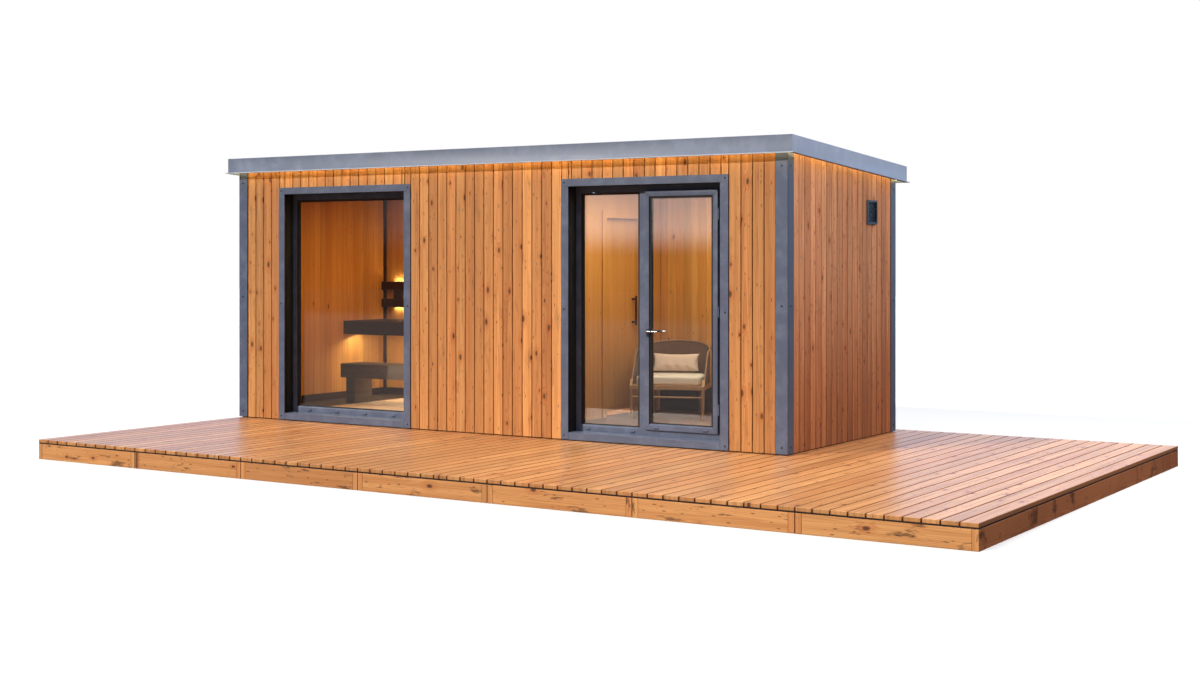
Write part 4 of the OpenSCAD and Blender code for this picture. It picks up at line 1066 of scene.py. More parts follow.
# ---- interior boards -----------------------------------------------------------
@dataclass
class Interior:
    """Lining, partition, floor and benches."""

    finishes: Finishes
    lining_pitch: float = 0.085
    lining_gap: float = 0.0012
    floor_pitch: float = 0.140
    dark_strip: float = 0.548
    frame_gap: float = 0.005
    skirting: float = 0.24
    skirting_start: float = 0.092
    skirting_front: float = 0.18

    def panel_rows(self, low: Vector, high: Vector, axis: int, slope: float = 0.0) -> np.ndarray:
        """Rows of boxes that split an upright panel into boards.

        Args:
            low: Low corner of the panel.
            high: Its high corner.
            axis: Axis through its thickness.
            slope: Fall of its top along it.

        Returns:
            Rows for box_rows.
        """
        along = 1 - axis
        edges = board_edges(low[along], high[along], low[along], self.lining_pitch)
        rows = np.zeros((len(edges) - 1, 6))
        rows[:, 2 * along] = edges[:-1] + self.lining_gap / 2
        rows[:, 2 * along + 1] = edges[1:] - self.lining_gap / 2
        rows[:, 2 * axis], rows[:, 2 * axis + 1] = low[axis], high[axis]
        rows[:, 4] = low.z
        rows[:, 5] = high.z - slope * (edges[1:] - low[along])
        return rows

    def lining(self) -> None:
        """Panels the outer walls of both rooms."""
        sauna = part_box("sauna_lining")
        fall = ROOF_SLOPE * (sauna[1].y - sauna[0].y)
        for seed, room in enumerate(("sauna", "lounge")):
            node = f"{room}_lining"
            low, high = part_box(node)
            side_low, side_high = low.copy(), high.copy()
            if room == "sauna":
                side_high.x = low.x + LINING_T
            else:
                side_low.x = high.x - LINING_T
            side_high.y = high.y - LINING_T - 0.001
            back_low, back_high = low.copy(), high.copy()
            back_low.y = high.y - LINING_T
            back_high.z = high.z - fall
            side_rows = self.panel_rows(side_low, side_high, 0, ROOF_SLOPE)
            back_rows = self.panel_rows(back_low, back_high, 1)
            for wall, rows, grain, first_seed, replaced in (
                    ("side", side_rows, Grain.ALONG_Z_FACING_X, 41, [node]),
                    ("back", back_rows, Grain.ALONG_Z_FACING_Y, 43, [])):
                boards = planks(f"{room}_{wall}_lining", *box_rows(rows), grain, first_seed + seed, 0.002)
                place(boards, self.finishes.lining, Body.CABIN, replaced)

    def floor_rows(self, x: tuple[float, float], y: tuple[float, float], z: tuple[float, float],
                   across: int) -> tuple[np.ndarray, np.ndarray]:
        """Corners of the boards that cover a rectangle of floor.

        Args:
            x: Range along the cabin.
            y: Range from front to back.
            z: Bottom and top.
            across: Axis across the boards, 0 or 1.

        Returns:
            Low and high corners.
        """
        span = (x, y)[across]
        edges = board_edges(span[0], span[1], span[0], self.floor_pitch)
        rows = np.tile(np.array([*x, *y, *z], dtype=float), (len(edges) - 1, 1))
        rows[:, 2 * across] = edges[:-1] + self.lining_gap
        rows[:, 2 * across + 1] = edges[1:] - self.lining_gap
        return box_rows(rows)

    def floor(self) -> None:
        """Lays warm boards in the lounge, and a pale floor with a dark strip along the wall in the sauna."""
        low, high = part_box("floor_boards")
        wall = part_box("partition")[0].x
        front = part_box("window_frame")[1].y + 0.001
        height = (low.z, high.z)
        edge = low.x + self.dark_strip
        for name, x, across, finish, replaced in (
                ("lounge_floor", (wall, high.x), 1, self.finishes.floor, ["floor_boards"]),
                ("sauna_floor", (edge, wall), 1, self.finishes.pale_floor, []),
                ("sauna_floor_edge", (low.x, edge), 0, self.finishes.dark_floor, [])):
            corners = self.floor_rows(x, (front, high.y), height, across)
            grain = Grain.ALONG_X_FLAT if across == 1 else Grain.ALONG_Y
            place(planks(name, *corners, grain, 47, 0.0012), finish, Body.CABIN, replaced)
        frames = [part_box("window_frame"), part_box("door_frame")]
        starts = [low.x] + [box[1].x + self.frame_gap for box in frames]
        ends = [box[0].x - self.frame_gap for box in frames] + [high.x]
        rows = [[a, b, low.y, front - 0.001, *height] for a, b in zip(starts, ends)]
        strips = planks("floor_front_strips", *box_rows(rows), Grain.ALONG_X_FLAT, 48, 0.001)
        place(strips, self.finishes.floor, Body.CABIN)

    def skirting_boards(self) -> None:
        """Runs the lounge's dark skirting along its back and right walls."""
        high, wall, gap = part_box("floor_boards")[1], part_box("partition")[0].x, 0.0005
        z, right, back = (high.z + gap, high.z + self.skirting), high.x - gap, high.y - LINING_T
        rows = [[wall + self.skirting_start, right, back, high.y - gap, *z],
                [high.x - LINING_T, right, self.skirting_front, back - 0.001, *z]]
        skirting = planks("lounge_skirting", *box_rows(rows), Grain.ALONG_X, 49, 0.0015)
        place(skirting, self.finishes.dark_wood, Body.CABIN)

    def copies(self) -> None:
        """Rounds and dresses the joinery that keeps its shape."""
        f = self.finishes
        for node, finish, slot, grain, body, ease in (
                ("partition", f.lining, "lining_wood", Grain.ALONG_Z_FACING_X, Body.CABIN, 0.001),
                ("inner_door_frame", f.lining, "light_wood", Grain.ALONG_Z_FACING_X, Body.CABIN, 0.002),
                ("inner_door", f.lining, "lining_wood", Grain.ALONG_Z_FACING_X, Body.INNER_LEAF, 0.002),
                ("inner_door_pull", f.dark_wood, "dark_wood", Grain.ALONG_Z_FACING_X, Body.INNER_LEAF, 0.002),
                ("roof_panel", f.lining, "core_board", Grain.ALONG_X_FLAT, Body.CABIN, 0.0),
                ("sauna_corner_trim", f.dark_wood, "dark_wood", Grain.ALONG_Z_FACING_Y, Body.CABIN, 0.0015),
                ("sauna_skirting", f.dark_wood, "dark_wood", Grain.ALONG_X, Body.CABIN, 0.002),
                ("upper_bench", f.dark_wood, "dark_wood", Grain.ALONG_X, Body.CABIN, 0.003),
                ("lower_bench", f.grey_wood, "grey_wood", Grain.ALONG_X, Body.CABIN, 0.003),
                ("bench_backrest", f.dark_wood, "dark_wood", Grain.ALONG_X, Body.CABIN, 0.003),
                ("chair_frame", f.light_wood, "light_wood", Grain.ALONG_Z_FACING_Y, Body.CABIN, 0.003)):
            place(eased_copy(node, f"{node}_joinery", ease, grain), finish, body, [node])

    def build(self) -> None:
        """Builds the interior."""
        self.lining()
        self.floor()
        self.skirting_boards()
        self.copies()


# ---- metalwork -----------------------------------------------------------------
@dataclass
class Metalwork:
    """Trims, frames, fascia and small fittings of folded steel."""

    finishes: Finishes
    return_head: float = 0.1
    return_start: float = 0.012
    seat_reach: float = 0.030
    grille_inside: float = 0.087

    def build(self) -> None:
        """Rounds the edges of the steel pieces and dresses them."""
        f = self.finishes
        for node, finish, slot, body, ease in (
                ("roof_fascia", f.fascia, "steel_grey", Body.CABIN, 0.0015),
                ("corner_angles", f.steel, "steel_grey", Body.CABIN, 0.0015),
                ("window_casing", f.steel, "steel_grey", Body.CABIN, 0.0012),
                ("door_casing", f.steel, "steel_grey", Body.CABIN, 0.0012),
                ("window_frame", f.steel, "steel_grey", Body.CABIN, 0.002),
                ("door_frame", f.steel, "steel_grey", Body.CABIN, 0.002),
                ("door_sash", f.steel, "steel_grey", Body.SASH, 0.002),
                ("door_hinges", f.steel, "steel_grey", Body.CABIN, 0.0005),
                ("sash_hinges", f.steel, "steel_grey", Body.SASH, 0.0005),
                ("handle_roses", f.rose, "steel_grey", Body.SASH, 0.0015),
                ("door_handle", f.silver, "silver", Body.LEVER, 0.0),
                ("inner_door_hinges", f.silver, "silver", Body.CABIN, 0.0005),
                ("inner_leaf_hinges", f.silver, "silver", Body.INNER_LEAF, 0.0005),
                ("vent_grille", f.louvre, "steel_grey", Body.CABIN, 0.0004)):
            piece = place(eased_copy(node, f"{node}_metal", ease), finish, body, [node])
            if node.endswith("_casing"):
                self.blacken_returns(piece)
            if node == "vent_grille":
                self.pale_rim(piece)
            sides = np.abs(face_facts(piece)[1][:, 0]) > 0.7
            # Painted shade on the corner angles' side faces.
            if node == "corner_angles":
                second_finish(piece, f.steel_side_shade, sides)
            # Painted reflection on the fascia's side faces.
            if node == "roof_fascia":
                second_finish(piece, f.fascia_side_sheen, sides)
            # Painted shade on the faces round each pane.
            if node in GLASS_OF:
                self.paint_seat_shade(piece, GLASS_OF[node])

    def blacken_returns(self, piece: bpy.types.Object) -> None:
        """Gives the side and head returns of a casing, inside the opening, their black finish.

        Args:
            piece: The casing.
        """
        centres, normals = face_facts(piece)
        low, high = centres.min(axis=0), centres.max(axis=0)
        inward = normals[:, 0] * np.sign((low[0] + high[0]) / 2 - centres[:, 0]) > 0.7
        downward = (normals[:, 2] < -0.7) & (centres[:, 2] > high[2] - self.return_head)
        deep = centres[:, 1] > low[1] + self.return_start
        second_finish(piece, self.finishes.reveal, (inward | downward) & deep)

    def paint_seat_shade(self, piece: bpy.types.Object, pane: str) -> None:
        """Paints shade, in the black gasket finish, on the side and head faces that lead in to a pane.

        Args:
            piece: The frame.
            pane: Node of the pane in it.
        """
        centres, normals = face_facts(piece)
        chosen = np.zeros(len(centres), dtype=bool)
        low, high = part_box(pane)
        for axis, end, sign in ((0, low.x, 1), (0, high.x, -1), (2, high.z, -1)):
            near = (np.abs(centres[:, axis] - end) < self.seat_reach) & (centres[:, 1] < high.y)
            chosen |= near & (normals[:, axis] * sign > 0.35)
        second_finish(piece, self.finishes.rubber, chosen)

    def pale_rim(self, piece: bpy.types.Object) -> None:
        """Gives the grille's rim the grey of the trims.

        Args:
            piece: The grille.
        """
        centres = face_facts(piece)[0]
        low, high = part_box("vent_grille")
        middle = np.array((low + high) / 2)
        out = np.abs(centres[:, 1:] - middle[1:]).max(axis=1) > self.grille_inside
        second_finish(piece, self.finishes.steel, out)


@dataclass
class Fittings:
    """Gaskets, screws, drain caps and painted shade in the mitre joints."""

    finishes: Finishes
    gasket: float = 0.010
    gasket_t: float = 0.004
    seal_back: float = 0.020
    screw_dome: tuple[tuple[float, float], ...] = ((0.0090, -0.001), (0.0090, 0.0016), (0.0070, 0.0038),
                                                   (0.0036, 0.0046))
    screw_inset: float = 0.030
    cap: tuple[float, float, float] = (0.048, 0.010, 0.015)
    mouth: tuple[float, float, float] = (0.036, 0.0012, 0.0057)
    drip: tuple[float, float] = (0.0008, 0.009)
    mitre: tuple[float, float] = (0.003, 0.043)
    mitre_half: float = 0.0009

    def gaskets(self) -> None:
        """Lays black gaskets round the panes, on both faces of the glass."""
        for node in GLASS_OF.values():
            body = Body.SASH if node == "sash_glass" else Body.CABIN
            low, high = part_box(node)
            x = (low.x + GLASS_BITE, high.x - GLASS_BITE)
            z = (low.z + GLASS_BITE, high.z - GLASS_BITE)
            rows = ring_rows(x, z, (low.y - self.gasket_t, low.y), self.gasket)
            rows += ring_rows(x, z, (high.y, high.y + self.gasket_t), self.gasket)
            piece = planks(f"{node}_gasket", *box_rows(rows), Grain.ALONG_X, 51, 0.0008)
            place(piece, self.finishes.rubber, body)
        low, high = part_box("door_sash")
        face, inset = low.y + self.seal_back, 0.001
        seal = ring_rows((low.x + inset, high.x - inset), (low.z + inset, high.z - inset),
                         (face, face + self.gasket_t), self.gasket)
        piece = planks("sash_seal", *box_rows(seal), Grain.ALONG_X, 52, 0.001)
        place(piece, self.finishes.rubber, Body.SASH)

    def screws(self) -> None:
        """Sets screw heads on the trims that face the front and on the sides of the corner angles."""
        front, side_left, side_right = [], [], []
        low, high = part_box("corner_angles")
        heights = (low.z + 0.055, (low.z + high.z) / 2 - 0.02)
        front_heights = (*heights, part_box("front_cladding")[1].z - 0.12)
        back_heights = (*heights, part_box("back_cladding")[1].z - 0.10)
        half = ANGLE_LEG / 2
        for y, levels in ((low.y + half, front_heights), (high.y - half, back_heights)):
            side_right += [(high.x, y, z) for z in levels]
            side_left += [(low.x, y, z) for z in levels]
        for z in front_heights:
            front += [(low.x + half, low.y, z), (high.x - half, low.y, z)]
        back = [(x, high.y, z) for x in (low.x + half, high.x - half) for z in back_heights]
        for node in ("window_casing", "door_casing"):
            a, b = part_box(node)
            for x in (a.x + self.screw_inset, b.x - self.screw_inset):
                front += [(x, a.y, z) for z in (b.z - self.screw_inset, (a.z + b.z) / 2, a.z + 0.035)]
        for name, spots, axis, sign in (
                ("front_screws", front, 1, -1), ("back_screws", back, 1, 1),
                ("left_screws", side_left, 0, -1), ("right_screws", side_right, 0, 1)):
            piece = revolved(np.array(self.screw_dome), np.array(spots), axis, sign, 12, name)
            place(piece, self.finishes.screw, Body.CABIN)

    def drain_caps(self) -> None:
        """Sets the hooded drain caps on the bottom rails."""
        for name, frame_node, count, body, drop in (
                ("window_drain_caps", "window_frame", 4, Body.CABIN, 0.036),
                ("fixed_drain_caps", "door_frame", 2, Body.CABIN, 0.036),
                ("sash_drain_caps", "door_sash", 2, Body.SASH, 0.030)):
            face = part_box(frame_node)[0].y
            low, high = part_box(GLASS_OF[frame_node])
            inset = (high.x - low.x) * 0.12
            middles = np.linspace(low.x + inset, high.x - inset, count)
            foot = low.z + GLASS_BITE - drop - self.cap[2] / 2
            # The black mouth under each cap is painted shade for the opening under its hood.
            for part, (wide, deep, tall), bottom, finish, seed, ease in (
                    (name, self.cap, foot, self.finishes.steel, 53, 0.003),
                    (f"{name}_mouth_shade", self.mouth, foot - self.mouth[2] - FIT_GAP, self.finishes.rubber,
                     54, 0.0)):
                span = (bottom, bottom + tall)
                rows = [[x - wide / 2, x + wide / 2, face - deep, face, *span] for x in middles]
                place(planks(part, *box_rows(rows), Grain.ALONG_X, seed, ease), finish, body)

    def drip_edges(self) -> None:
        """Runs a drip edge along the foot of the front and back fascia, pale with a painted highlight."""
        low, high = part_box("roof_fascia")
        proud, tall = self.drip
        corners = []
        for face, near, far in ((low.y, low.y - proud, low.y), (high.y, high.y, high.y + proud)):
            foot = self.fascia_foot(face)
            corners.append([low.x, high.x, near, far, foot, foot + tall])
        piece = planks("fascia_drip_edges", *box_rows(corners), Grain.ALONG_X, 55, 0.0)
        place(piece, self.finishes.drip, Body.CABIN)

    def fascia_foot(self, y: float) -> float:
        """Lowest height of the fascia's points at one end."""
        points = vertex_array(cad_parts["roof_fascia"].data)
        return float(points[np.abs(points[:, 1] - y) < 0.002, 2].min())

    def mitres(self) -> None:
        """Paints shade into the mitred corners of the sash as fine dark strips."""
        low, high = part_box("door_sash")
        half, y0, y1 = self.mitre_half, low.y - 0.0002, low.y + 0.002
        box = np.array([[0, 2, 6, 4], [1, 5, 7, 3], [0, 1, 3, 2], [4, 6, 7, 5], [0, 4, 5, 1], [2, 3, 7, 6]])
        points, quads = [], []
        for x, sx in ((low.x, 1), (high.x, -1)):
            for z, sz in ((low.z, 1), (high.z, -1)):
                first = len(points)
                for distance in self.mitre:
                    for side in (-half, half):
                        for y in (y0, y1):
                            points.append((x + sx * (distance + side), y, z + sz * (distance - side)))
                quads.append((box if sx * sz < 0 else box[:, ::-1]) + first)
        piece = mesh_object("sash_mitre_painted_shade", np.array(points), [np.concatenate(quads)])
        place(piece, self.finishes.rubber, Body.SASH)

    def build(self) -> None:
        """Builds the small fittings."""
        self.gaskets()
        self.screws()
        self.drain_caps()
        self.drip_edges()
        self.mitres()


# ---- lounge chair ----------------------------------------------------------------
def turned(points: np.ndarray, angle: float) -> np.ndarray:
    """Turns points about the upright axis through the origin."""
    c, s = math.cos(angle), math.sin(angle)
    return points @ np.array([[c, s, 0.0], [-s, c, 0.0], [0.0, 0.0, 1.0]])


def turned_box(node: str) -> tuple[np.ndarray, np.ndarray]:
    """Box of a node of the chair in the chair's own turned axes."""
    own = turned(vertex_array(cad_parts[node].data), -CHAIR_TURN)
    return own.min(axis=0), own.max(axis=0)


def swept(lines: Sequence[Line], sides: int) -> tuple[np.ndarray, list[np.ndarray]]:
    """Closed tubes along lines.

    Args:
        lines: Each tube's points and the half axes of its section there, whose cross product runs forward.
        sides: Corners of the section.

    Returns:
        Corner points and faces.
    """
    angles = np.arange(sides) * 2 * math.pi / sides
    ring = np.arange(sides)
    points, quads, caps, first = [], [], [], 0
    for centre, across, up in lines:
        section = np.cos(angles)[:, None] * across[:, None] + np.sin(angles)[:, None] * up[:, None]
        points.append((centre[:, None] + section).reshape(-1, 3))
        quads.append(first + band_quads(len(centre), sides))
        caps.append(np.stack([first + ring[::-1], first + (len(centre) - 1) * sides + ring]))
        first += len(centre) * sides
    return np.concatenate(points), [np.concatenate(quads), np.concatenate(caps)]


@dataclass
class Weave:
    """Woven barrel back: strands in and out round upright stakes, with a bound rim along the top."""

    finishes: Finishes
    pitch: float = 0.016
    row: float = 0.0085
    swing: float = 0.0034
    rim: float = 0.0085
    strand: tuple[float, float] = (0.0022, 0.0037)
    stake: float = 0.0022
    inset: float = 0.009
    elbow: float = 0.025
    elbow_drop: float = 0.012

    def __post_init__(self) -> None:
        """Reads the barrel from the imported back."""
        self.low, self.high = turned_box("chair_back")
        outer = (self.high[0] - self.low[0]) / 2
        self.middle_x = (self.high[0] + self.low[0]) / 2
        self.middle_y = self.high[1] - outer
        self.radius = outer - self.inset
        self.side = self.middle_y - self.low[1]
        self.length = 2 * self.side + math.pi * self.radius

    def path(self, run: np.ndarray) -> tuple[np.ndarray, np.ndarray]:
        """Plan of the barrel's middle line: up the left side, round the half circle, down the right side.

        Args:
            run: Distances along the line.

        Returns:
            Points at height 0 and outward directions.
        """
        angle = np.clip((run - self.side) / self.radius, 0.0, math.pi)
        outward = np.stack([-np.cos(angle), np.sin(angle), np.zeros_like(angle)], axis=1)
        points = outward * self.radius + np.array([self.middle_x, self.middle_y, 0.0])
        points[:, 1] += np.minimum(run - self.side, 0.0) - np.maximum(run - self.length + self.side, 0.0)
        return points, outward

    def edge(self, run: np.ndarray) -> np.ndarray:
        """Height of the upper edge: steep up the arm posts, a rounded elbow, then gently up to the back.

        Args:
            run: Distances along the middle line.

        Returns:
            Heights.
        """
        depth = self.path(run)[0][:, 1] - self.low[1]
        steep = self.low[2] + depth * ARM_RISE / ARM_RUN
        rise = self.high[2] - self.low[2] - ARM_RISE
        gentle = self.low[2] + ARM_RISE + (depth - ARM_RUN) * rise / (self.high[1] - self.low[1] - ARM_RUN)
        gap = (steep - gentle) / self.elbow
        return gentle + np.minimum(gap, 0.0) * self.elbow - self.elbow_drop * np.exp(-np.abs(gap))

    def rows(self) -> list[Line]:
        """Strands at each height, between the places where the edge comes down to it.

        Returns:
            The strands' lines.
        """
        fine = np.linspace(0.0, self.length, 1600)
        tops = self.edge(fine) - self.rim * 1.5
        lines = []
        heights = np.arange(self.low[2] + 0.006, self.high[2] - 2 * self.rim, self.row)
        for index, height in enumerate(heights):
            inside = fine[tops > height]
            run = np.arange(inside[0], inside[-1], self.pitch / 2)
            points, outward = self.path(run)
            wave = self.swing * np.cos(math.pi * run / self.pitch + math.pi * index)
            points = points + outward * wave[:, None]
            points[:, 2] = height
            up = np.tile(np.array([0.0, 0.0, self.strand[1]]), (len(run), 1))
            lines.append((points, outward * self.strand[0], up))
        return lines

    def stakes(self) -> list[Line]:
        """Upright stakes that the strands pass on alternate sides.

        Returns:
            The stakes' lines.
        """
        run = np.arange(math.ceil(0.02 / self.pitch), int((self.length - 0.02) / self.pitch)) * self.pitch
        feet, outward = self.path(run)
        tops = self.edge(run) - self.rim
        lines = []
        for foot, out, top in zip(feet, outward, tops):
            points = np.array([[foot[0], foot[1], self.low[2] + 0.001], [foot[0], foot[1], top]])
            along = np.cross([0.0, 0.0, 1.0], out)
            lines.append((points, np.tile(out * self.stake, (2, 1)), np.tile(along * self.stake, (2, 1))))
        return lines

    def build(self) -> None:
        """Weaves the back and binds its rim."""
        for name, lines, sides, replaced in (("chair_back_strands", self.rows(), 4, ["chair_back"]),
                                             ("chair_back_stakes", self.stakes(), 6, [])):
            points, faces = swept(lines, sides)
            piece = mesh_object(name, turned(points, CHAIR_TURN), faces, True)
            place(piece, self.finishes.rope, Body.CABIN, replaced)
        run = np.linspace(0.004, self.length - 0.004, 260)
        points, outward = self.path(run)
        points[:, 2] = self.edge(run) - self.rim
        forward = np.gradient(points, axis=0)
        forward /= np.linalg.norm(forward, axis=1)[:, None]
        up = np.cross(forward, outward)
        points, faces = swept([(points, outward * self.rim, up * self.rim)], 10)
        piece = mesh_object("chair_back_rim", turned(points, CHAIR_TURN), faces, True)
        place(piece, self.finishes.rim, Body.CABIN)


def stuffed(name: str, points: np.ndarray, faces: Sequence[np.ndarray], voxel: float, cap: float,
            pressure: float = 4.0, steps: int = 20) -> bpy.types.Object:
    """Blows up a slightly small closed form as cloth.

    Args:
        name: Name of the piece.
        points: Corner points of the form.
        faces: Its faces.
        voxel: Size of the cloth's mesh.
        cap: Furthest that a point may move.
        pressure: Pressure inside.
        steps: Frames of the simulation.

    Returns:
        The stuffed form, with its modifiers applied.
    """
    piece = mesh_object(name, points, faces, True)
    remesh = piece.modifiers.new("mesh", "REMESH")
    remesh.mode, remesh.voxel_size, remesh.use_smooth_shade = "VOXEL", voxel, True
    graph = bpy.context.evaluated_depsgraph_get()
    piece.data = bpy.data.meshes.new_from_object(piece.evaluated_get(graph))
    piece.modifiers.clear()
    start = vertex_array(piece.data)
    cloth = piece.modifiers.new("cloth", "CLOTH")
    cloth.settings.use_pressure = True
    cloth.settings.uniform_pressure_force = pressure
    cloth.settings.effector_weights.gravity = 0.0
    cloth.settings.quality = 5
    cloth.point_cache.frame_start, cloth.point_cache.frame_end = 1, steps
    scene = bpy.context.scene
    for step in range(1, steps + 1):
        scene.frame_set(step)
    moved = vertex_array(piece.evaluated_get(bpy.context.evaluated_depsgraph_get()).data)
    piece.modifiers.clear()
    scene.frame_set(1)
    shift = moved - start
    reach = np.linalg.norm(shift, axis=1)
    shift *= np.minimum(1.0, cap / np.maximum(reach, 1e-9))[:, None]
    move_vertices(piece, start + shift)
    return piece


@dataclass
class Cushions:
    """Seat cushion and back pillow of the chair."""

    finishes: Finishes
    crown: float = 0.004

    def finish(self, piece: bpy.types.Object, low: np.ndarray, high: np.ndarray, finish: bpy.types.Material,
               node: str, fill: float) -> None:
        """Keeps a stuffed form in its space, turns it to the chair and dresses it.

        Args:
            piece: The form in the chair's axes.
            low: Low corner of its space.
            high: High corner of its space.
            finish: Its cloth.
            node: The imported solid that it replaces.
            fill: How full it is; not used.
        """
        points = np.clip(vertex_array(piece.data), low + 0.0005, high - 0.0005)
        move_vertices(piece, turned(points, CHAIR_TURN))
        smooth = piece.modifiers.new("smooth", "SUBSURF")
        smooth.levels = smooth.render_levels = 1
        place(piece, finish, Body.CABIN, [node])

    def seat(self) -> None:
        """Stuffs the seat cushion: a straight front with round corners and a round back, flat below."""
        low, high = turned_box("seat_cushion")
        inset, corner = 0.012, 0.050
        half = (high[0] - low[0]) / 2
        middle = np.array([(low[0] + high[0]) / 2, high[1] - half])
        back = np.linspace(0.0, math.pi, 60)
        radius = half - inset
        rim = [np.stack([radius * np.cos(back), radius * np.sin(back)], axis=1)]
        front = low[1] + inset - middle[1] + corner
        for x, start in ((-radius + corner, math.pi), (radius - corner, 1.5 * math.pi)):
            turn = np.linspace(start, start + math.pi / 2, 10)
            rim.append(np.stack([x + corner * np.cos(turn), front + corner * np.sin(turn)], axis=1))
        outline = np.concatenate(rim) + middle
        count = len(outline)
        levels = ((0.018, low[2] + 0.001), (0.003, low[2] + 0.009), (0.0, low[2] + 0.020),
                  (0.0, high[2] - 0.022), (0.003, high[2] - 0.011), (0.016, high[2] - 0.004))
        centre = outline.mean(axis=0)
        outward = (outline - centre) / np.linalg.norm(outline - centre, axis=1)[:, None]
        rings = [np.column_stack([outline - outward * inward, np.full(count, z)]) for inward, z in levels]
        ring = np.arange(count)
        caps = np.stack([ring[::-1], (len(levels) - 1) * count + ring])
        faces = [band_quads(len(levels), count), caps]
        piece = stuffed("seat_cushion_linen", np.concatenate(rings), faces, voxel=0.006, cap=0.011)
        points = vertex_array(piece.data)
        from_middle = np.linalg.norm(points[:, :2] - centre, axis=1) / half
        crown = self.crown * np.clip(1 - from_middle ** 2, 0, 1)
        points[:, 2] += crown * (points[:, 2] > (low[2] + high[2]) / 2)
        move_vertices(piece, points)
        self.finish(piece, low, high, self.finishes.cushion, "seat_cushion", 0.85)

    def pillow(self) -> None:
        """Stuffs the pillow: thin pointed corners, sides drawn in, full in the middle, leaning back."""
        low, high = turned_box("back_pillow")
        size = high - low
        c, s = math.cos(PILLOW_LEAN), math.sin(PILLOW_LEAN)
        tall = (size[2] * c - size[1] * s) / (c * c - s * s)
        deep = (size[1] * c - size[2] * s) / (c * c - s * s)
        side_draw, top_draw, foot_draw, fold_depth, seam_half = 0.045, 0.075, 0.02, 0.0035, 0.003
        u, v = np.meshgrid(np.linspace(-1, 1, 61), np.linspace(-1, 1, 33))
        x = (size[0] / 2 - 0.008) * u * (1 - side_draw * (1 - v ** 2))
        z = (tall / 2 - 0.004) * v * (1 - np.where(v > 0, top_draw, foot_draw) * (1 - u ** 2))
        fold = fold_depth * np.sin(13 * u + 3.0 * v) * np.clip(0.3 - v, 0, 1) * (1 - u ** 2)
        full = np.where(v > 0, 1 - np.abs(v) ** 2.2, 1 - np.abs(v) ** 7)
        half = (deep / 2 - 0.014) * np.sqrt((1 - np.abs(u) ** 3.2) * full) ** 0.8 + seam_half
        sheets = [np.stack([x, sign * (half + fold), z], axis=2).reshape(-1, 3) for sign in (-1.0, 1.0)]
        rows, columns = u.shape
        index = np.arange(rows * columns).reshape(rows, columns)
        a, b, d, e = index[:-1, :-1], index[:-1, 1:], index[1:, 1:], index[1:, :-1]
        front = np.stack([a, b, d, e], axis=2).reshape(-1, 4)
        rear = front[:, ::-1] + rows * columns
        border = np.concatenate([index[0, :-1], index[:-1, -1], index[-1, :0:-1], index[:0:-1, 0]])
        after = np.roll(border, -1)
        seam = np.stack([after, border, border + rows * columns, after + rows * columns], axis=1)
        faces = [np.concatenate([front, rear, seam])]
        piece = stuffed("back_pillow_linen", np.concatenate(sheets), faces, voxel=0.004, cap=0.009)
        lean = np.array([[1.0, 0.0, 0.0], [0.0, c, -s], [0.0, s, c]])
        move_vertices(piece, vertex_array(piece.data) @ lean + (low + high) / 2)
        self.finish(piece, low, high, self.finishes.pillow, "back_pillow", 0.75)

    def build(self) -> None:
        """Makes both."""
        self.seat()
        self.pillow()


def dress_packed(finishes: Finishes) -> None:
    """Finishes the imported nodes whose meshes stay as they are.

    Args:
        finishes: The finishes.
    """
    walls = [f"{side}_wall" for side in ("front", "back", "left", "right")]
    for finish, nodes in ((finishes.beam, ["deck_joists"]), (finishes.core, ["floor_base", *walls]),
                          (finishes.membrane, ["roof_sheet"]), (finishes.eaves_glow, ["eaves_light"]),
                          (finishes.bench_glow, ["bench_lights"]), (finishes.glass, list(GLASS_OF.values()))):
        for node in nodes:
            for place_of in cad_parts[node].material_slots:
                place_of.material = finish
            LOG.info("%s: dressed as %s", node, finish.name)


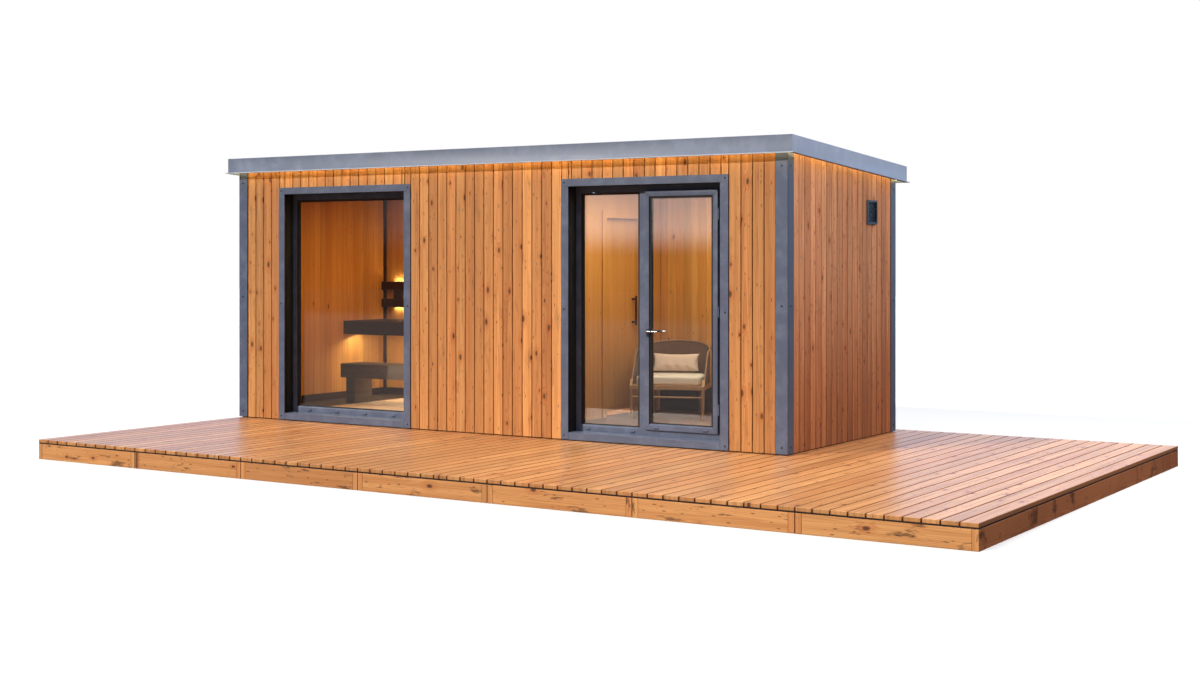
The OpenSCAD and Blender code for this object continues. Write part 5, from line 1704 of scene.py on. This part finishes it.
# ---- stage ---------------------------------------------------------------------
@dataclass
class Stage:
    """Camera, floor and lights."""

    eye: tuple[float, float, float] = (7.6595, -11.867, 1.739)
    turn_deg: float = 32.62
    lens_mm: float = 49.73
    shift_y: float = -0.0664
    sun_strength: float = 3.25
    sun_width_deg: float = 3.0
    floor_size: float = 120.0
    floor_seen: float = 0.90
    floor_bounce: float = 0.08
    floor_in_glass: float = 0.28
    dome_floor: float = 0.05
    dome_horizon: float = 0.09
    dome_zenith: float = 1.65
    dome_behind: float = 1.35
    dome_front: float = 2.7
    dome_right_dim: float = 0.55
    lamp_drop: float = 0.004

    def camera(self) -> None:
        """Sets the level camera in front of the right corner."""
        lens = bpy.data.cameras.new("view")
        lens.lens, lens.sensor_width = self.lens_mm, 36.0
        lens.shift_y = self.shift_y
        lens.clip_end = 500.0
        camera = linked("view", lens)
        camera.location = self.eye
        camera.rotation_euler = (math.radians(90), 0.0, math.radians(self.turn_deg))
        bpy.context.scene.camera = camera

    def floor(self) -> None:
        """Lays the pale floor: white to the camera, dim to other rays, brighter far ahead in the glass."""
        half = self.floor_size / 2
        corners = np.array([[-half, -half, 0], [half, -half, 0], [half, half, 0], [-half, half, 0]])
        floor = mesh_object("stage_floor", corners - np.array([0, 0, 0.001]), [np.array([[0, 1, 2, 3]])])
        g = Graph.material("pale_floor")
        ahead = g.between(g.parts(g.places())[1], -32.0, -24.0, 0.0, self.floor_in_glass)
        level = g.math("MAXIMUM", ahead * g.ray("Singular"), self.floor_bounce)
        level = g.math("MAXIMUM", level, g.ray("Camera") * self.floor_seen)
        shade = g.node("ShaderNodeBsdfDiffuse", {"Color": g.combined(level, level, level)})
        floor.data.materials.append(g.ended(shade))

    def sky(self) -> None:
        """Hangs a soft dome, bright overhead and behind the cabin, and a white backdrop."""
        g = Graph(bpy.data.worlds.new("soft_dome"))
        x, y, z = g.parts(g.places("Generated"))
        low_down = g.between(z, 0.7, 0.1)
        horizon = g.between(z, -0.005, 0.05, self.dome_floor, self.dome_horizon)
        overhead = g.between(z, 0.45, 0.95, 0.0, self.dome_zenith)
        behind = g.between(y, 0.1, 0.8) * (low_down * self.dome_behind)
        right = g.between(x, 0.2, 0.9) * (low_down * self.dome_right_dim)
        ahead = g.between(y, -0.15, -0.7) * g.between(z, 0.0, 0.020, 0.0, self.dome_front)
        ahead = ahead * g.between(x, -0.66, -0.56)
        level = (horizon + overhead + behind) * (1.0 - right) + ahead * g.ray("Singular")
        sheen = g.ray("Glossy") * g.between(y, 0.0, 0.5)
        tint = g.mixed(sheen, (0.93, 0.96, 1.0), (0.42, 0.72, 1.10))
        dome = g.node("ShaderNodeBackground", {"Color": tint, "Strength": level})
        backdrop = g.node("ShaderNodeBackground", {"Color": (1.0, 1.0, 1.0), "Strength": 1.0})
        bpy.context.scene.world = g.ended(g.blended(g.ray("Camera"), dome, backdrop))

    def area(self, name: str, spot: Vector, aim: Vector, size: tuple[float, float], watts: float,
             colour: Colour, spread_deg: float = 180.0) -> None:
        """Hangs an area lamp that no one sees.

        Args:
            name: Name of the lamp.
            spot: Its middle.
            aim: Direction of its light.
            size: Width and height.
            watts: Power.
            colour: Colour of the light.
            spread_deg: Angle that the light spreads to.
        """
        lamp = bpy.data.lights.new(name, "AREA")
        lamp.spread = math.radians(spread_deg)
        lamp.shape, lamp.size, lamp.size_y = "RECTANGLE", size[0], size[1]
        lamp.energy, lamp.color = watts, colour
        hung = linked(name, lamp)
        hung.location = spot
        hung.rotation_euler = aim.to_track_quat("-Z", "Y").to_euler()
        hung.visible_camera = hung.visible_glossy = False

    def lights(self) -> None:
        """Lights the stage with the dome, a soft sun, a fill from the right and the rooms' own lamps."""
        self.sky()
        sun = bpy.data.lights.new("sun", "SUN")
        sun.energy, sun.angle = self.sun_strength, math.radians(self.sun_width_deg)
        sun.color = (1.0, 0.95, 0.86)
        linked("sun", sun).rotation_euler = Vector((0.62, 1.0, -0.60)).to_track_quat("-Z", "Y").to_euler()
        self.area("right_fill", Vector((6.4, 0.9, 4.8)), Vector((-4.6, 0.1, -3.0)), (4.0, 3.0), 228.0,
                  (1.0, 0.97, 0.93))
        for name, node, watts, colour in (("sauna_lamp", "sauna_lining", 40.0, (1.0, 0.64, 0.20)),
                                          ("lounge_lamp", "lounge_lining", 25.0, (1.0, 0.96, 0.70))):
            low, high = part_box(node)
            spot = Vector(((low.x + high.x) / 2, 1.0, 2.40))
            self.area(name, spot, Vector((0, 0, -1)), (1.4, 1.0), watts, colour)
        self.area("lounge_front_lamp", Vector((0.45, 0.40, 2.35)), Vector((-0.35, 0.9, -1.5)), (1.2, 0.2),
                  9.0, (1.0, 0.96, 0.88), 150.0)
        amber = (1.0, 0.88, 0.58)
        low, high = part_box("upper_bench")
        under = Vector(((low.x + high.x) / 2, low.y + 0.14, high.z - 0.16))
        self.area("under_bench_lamp", under, Vector((0, 0.2, -1)), (high.x - low.x - 0.06, 0.22), 13.0, amber)
        low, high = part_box("bench_backrest")
        for name, z, way in (("lower_back_lamp", low.z - self.lamp_drop, -1),
                             ("upper_back_lamp", high.z + self.lamp_drop, 1)):
            self.area(name, Vector(((low.x + high.x) / 2, high.y - 0.022, z)), Vector((0, 0.5, way)),
                      (high.x - low.x - 0.3, 0.02), 3.0, amber)

    def build(self) -> None:
        """Sets the stage."""
        self.camera()
        self.floor()
        self.lights()
        bpy.context.scene.view_settings.view_transform = "Standard"


def main() -> None:
    """Builds the cabin's looks in order and reports each piece."""
    logging.basicConfig(level=logging.INFO, format="%(message)s")
    finishes = Finishes()
    Stage().build()
    Deck(finishes).build()
    Cladding(finishes).build()
    Interior(finishes).build()
    Metalwork(finishes).build()
    Fittings(finishes).build()
    Weave(finishes).build()
    Cushions(finishes).build()
    dress_packed(finishes)


if __name__ == "__main__":
    main()
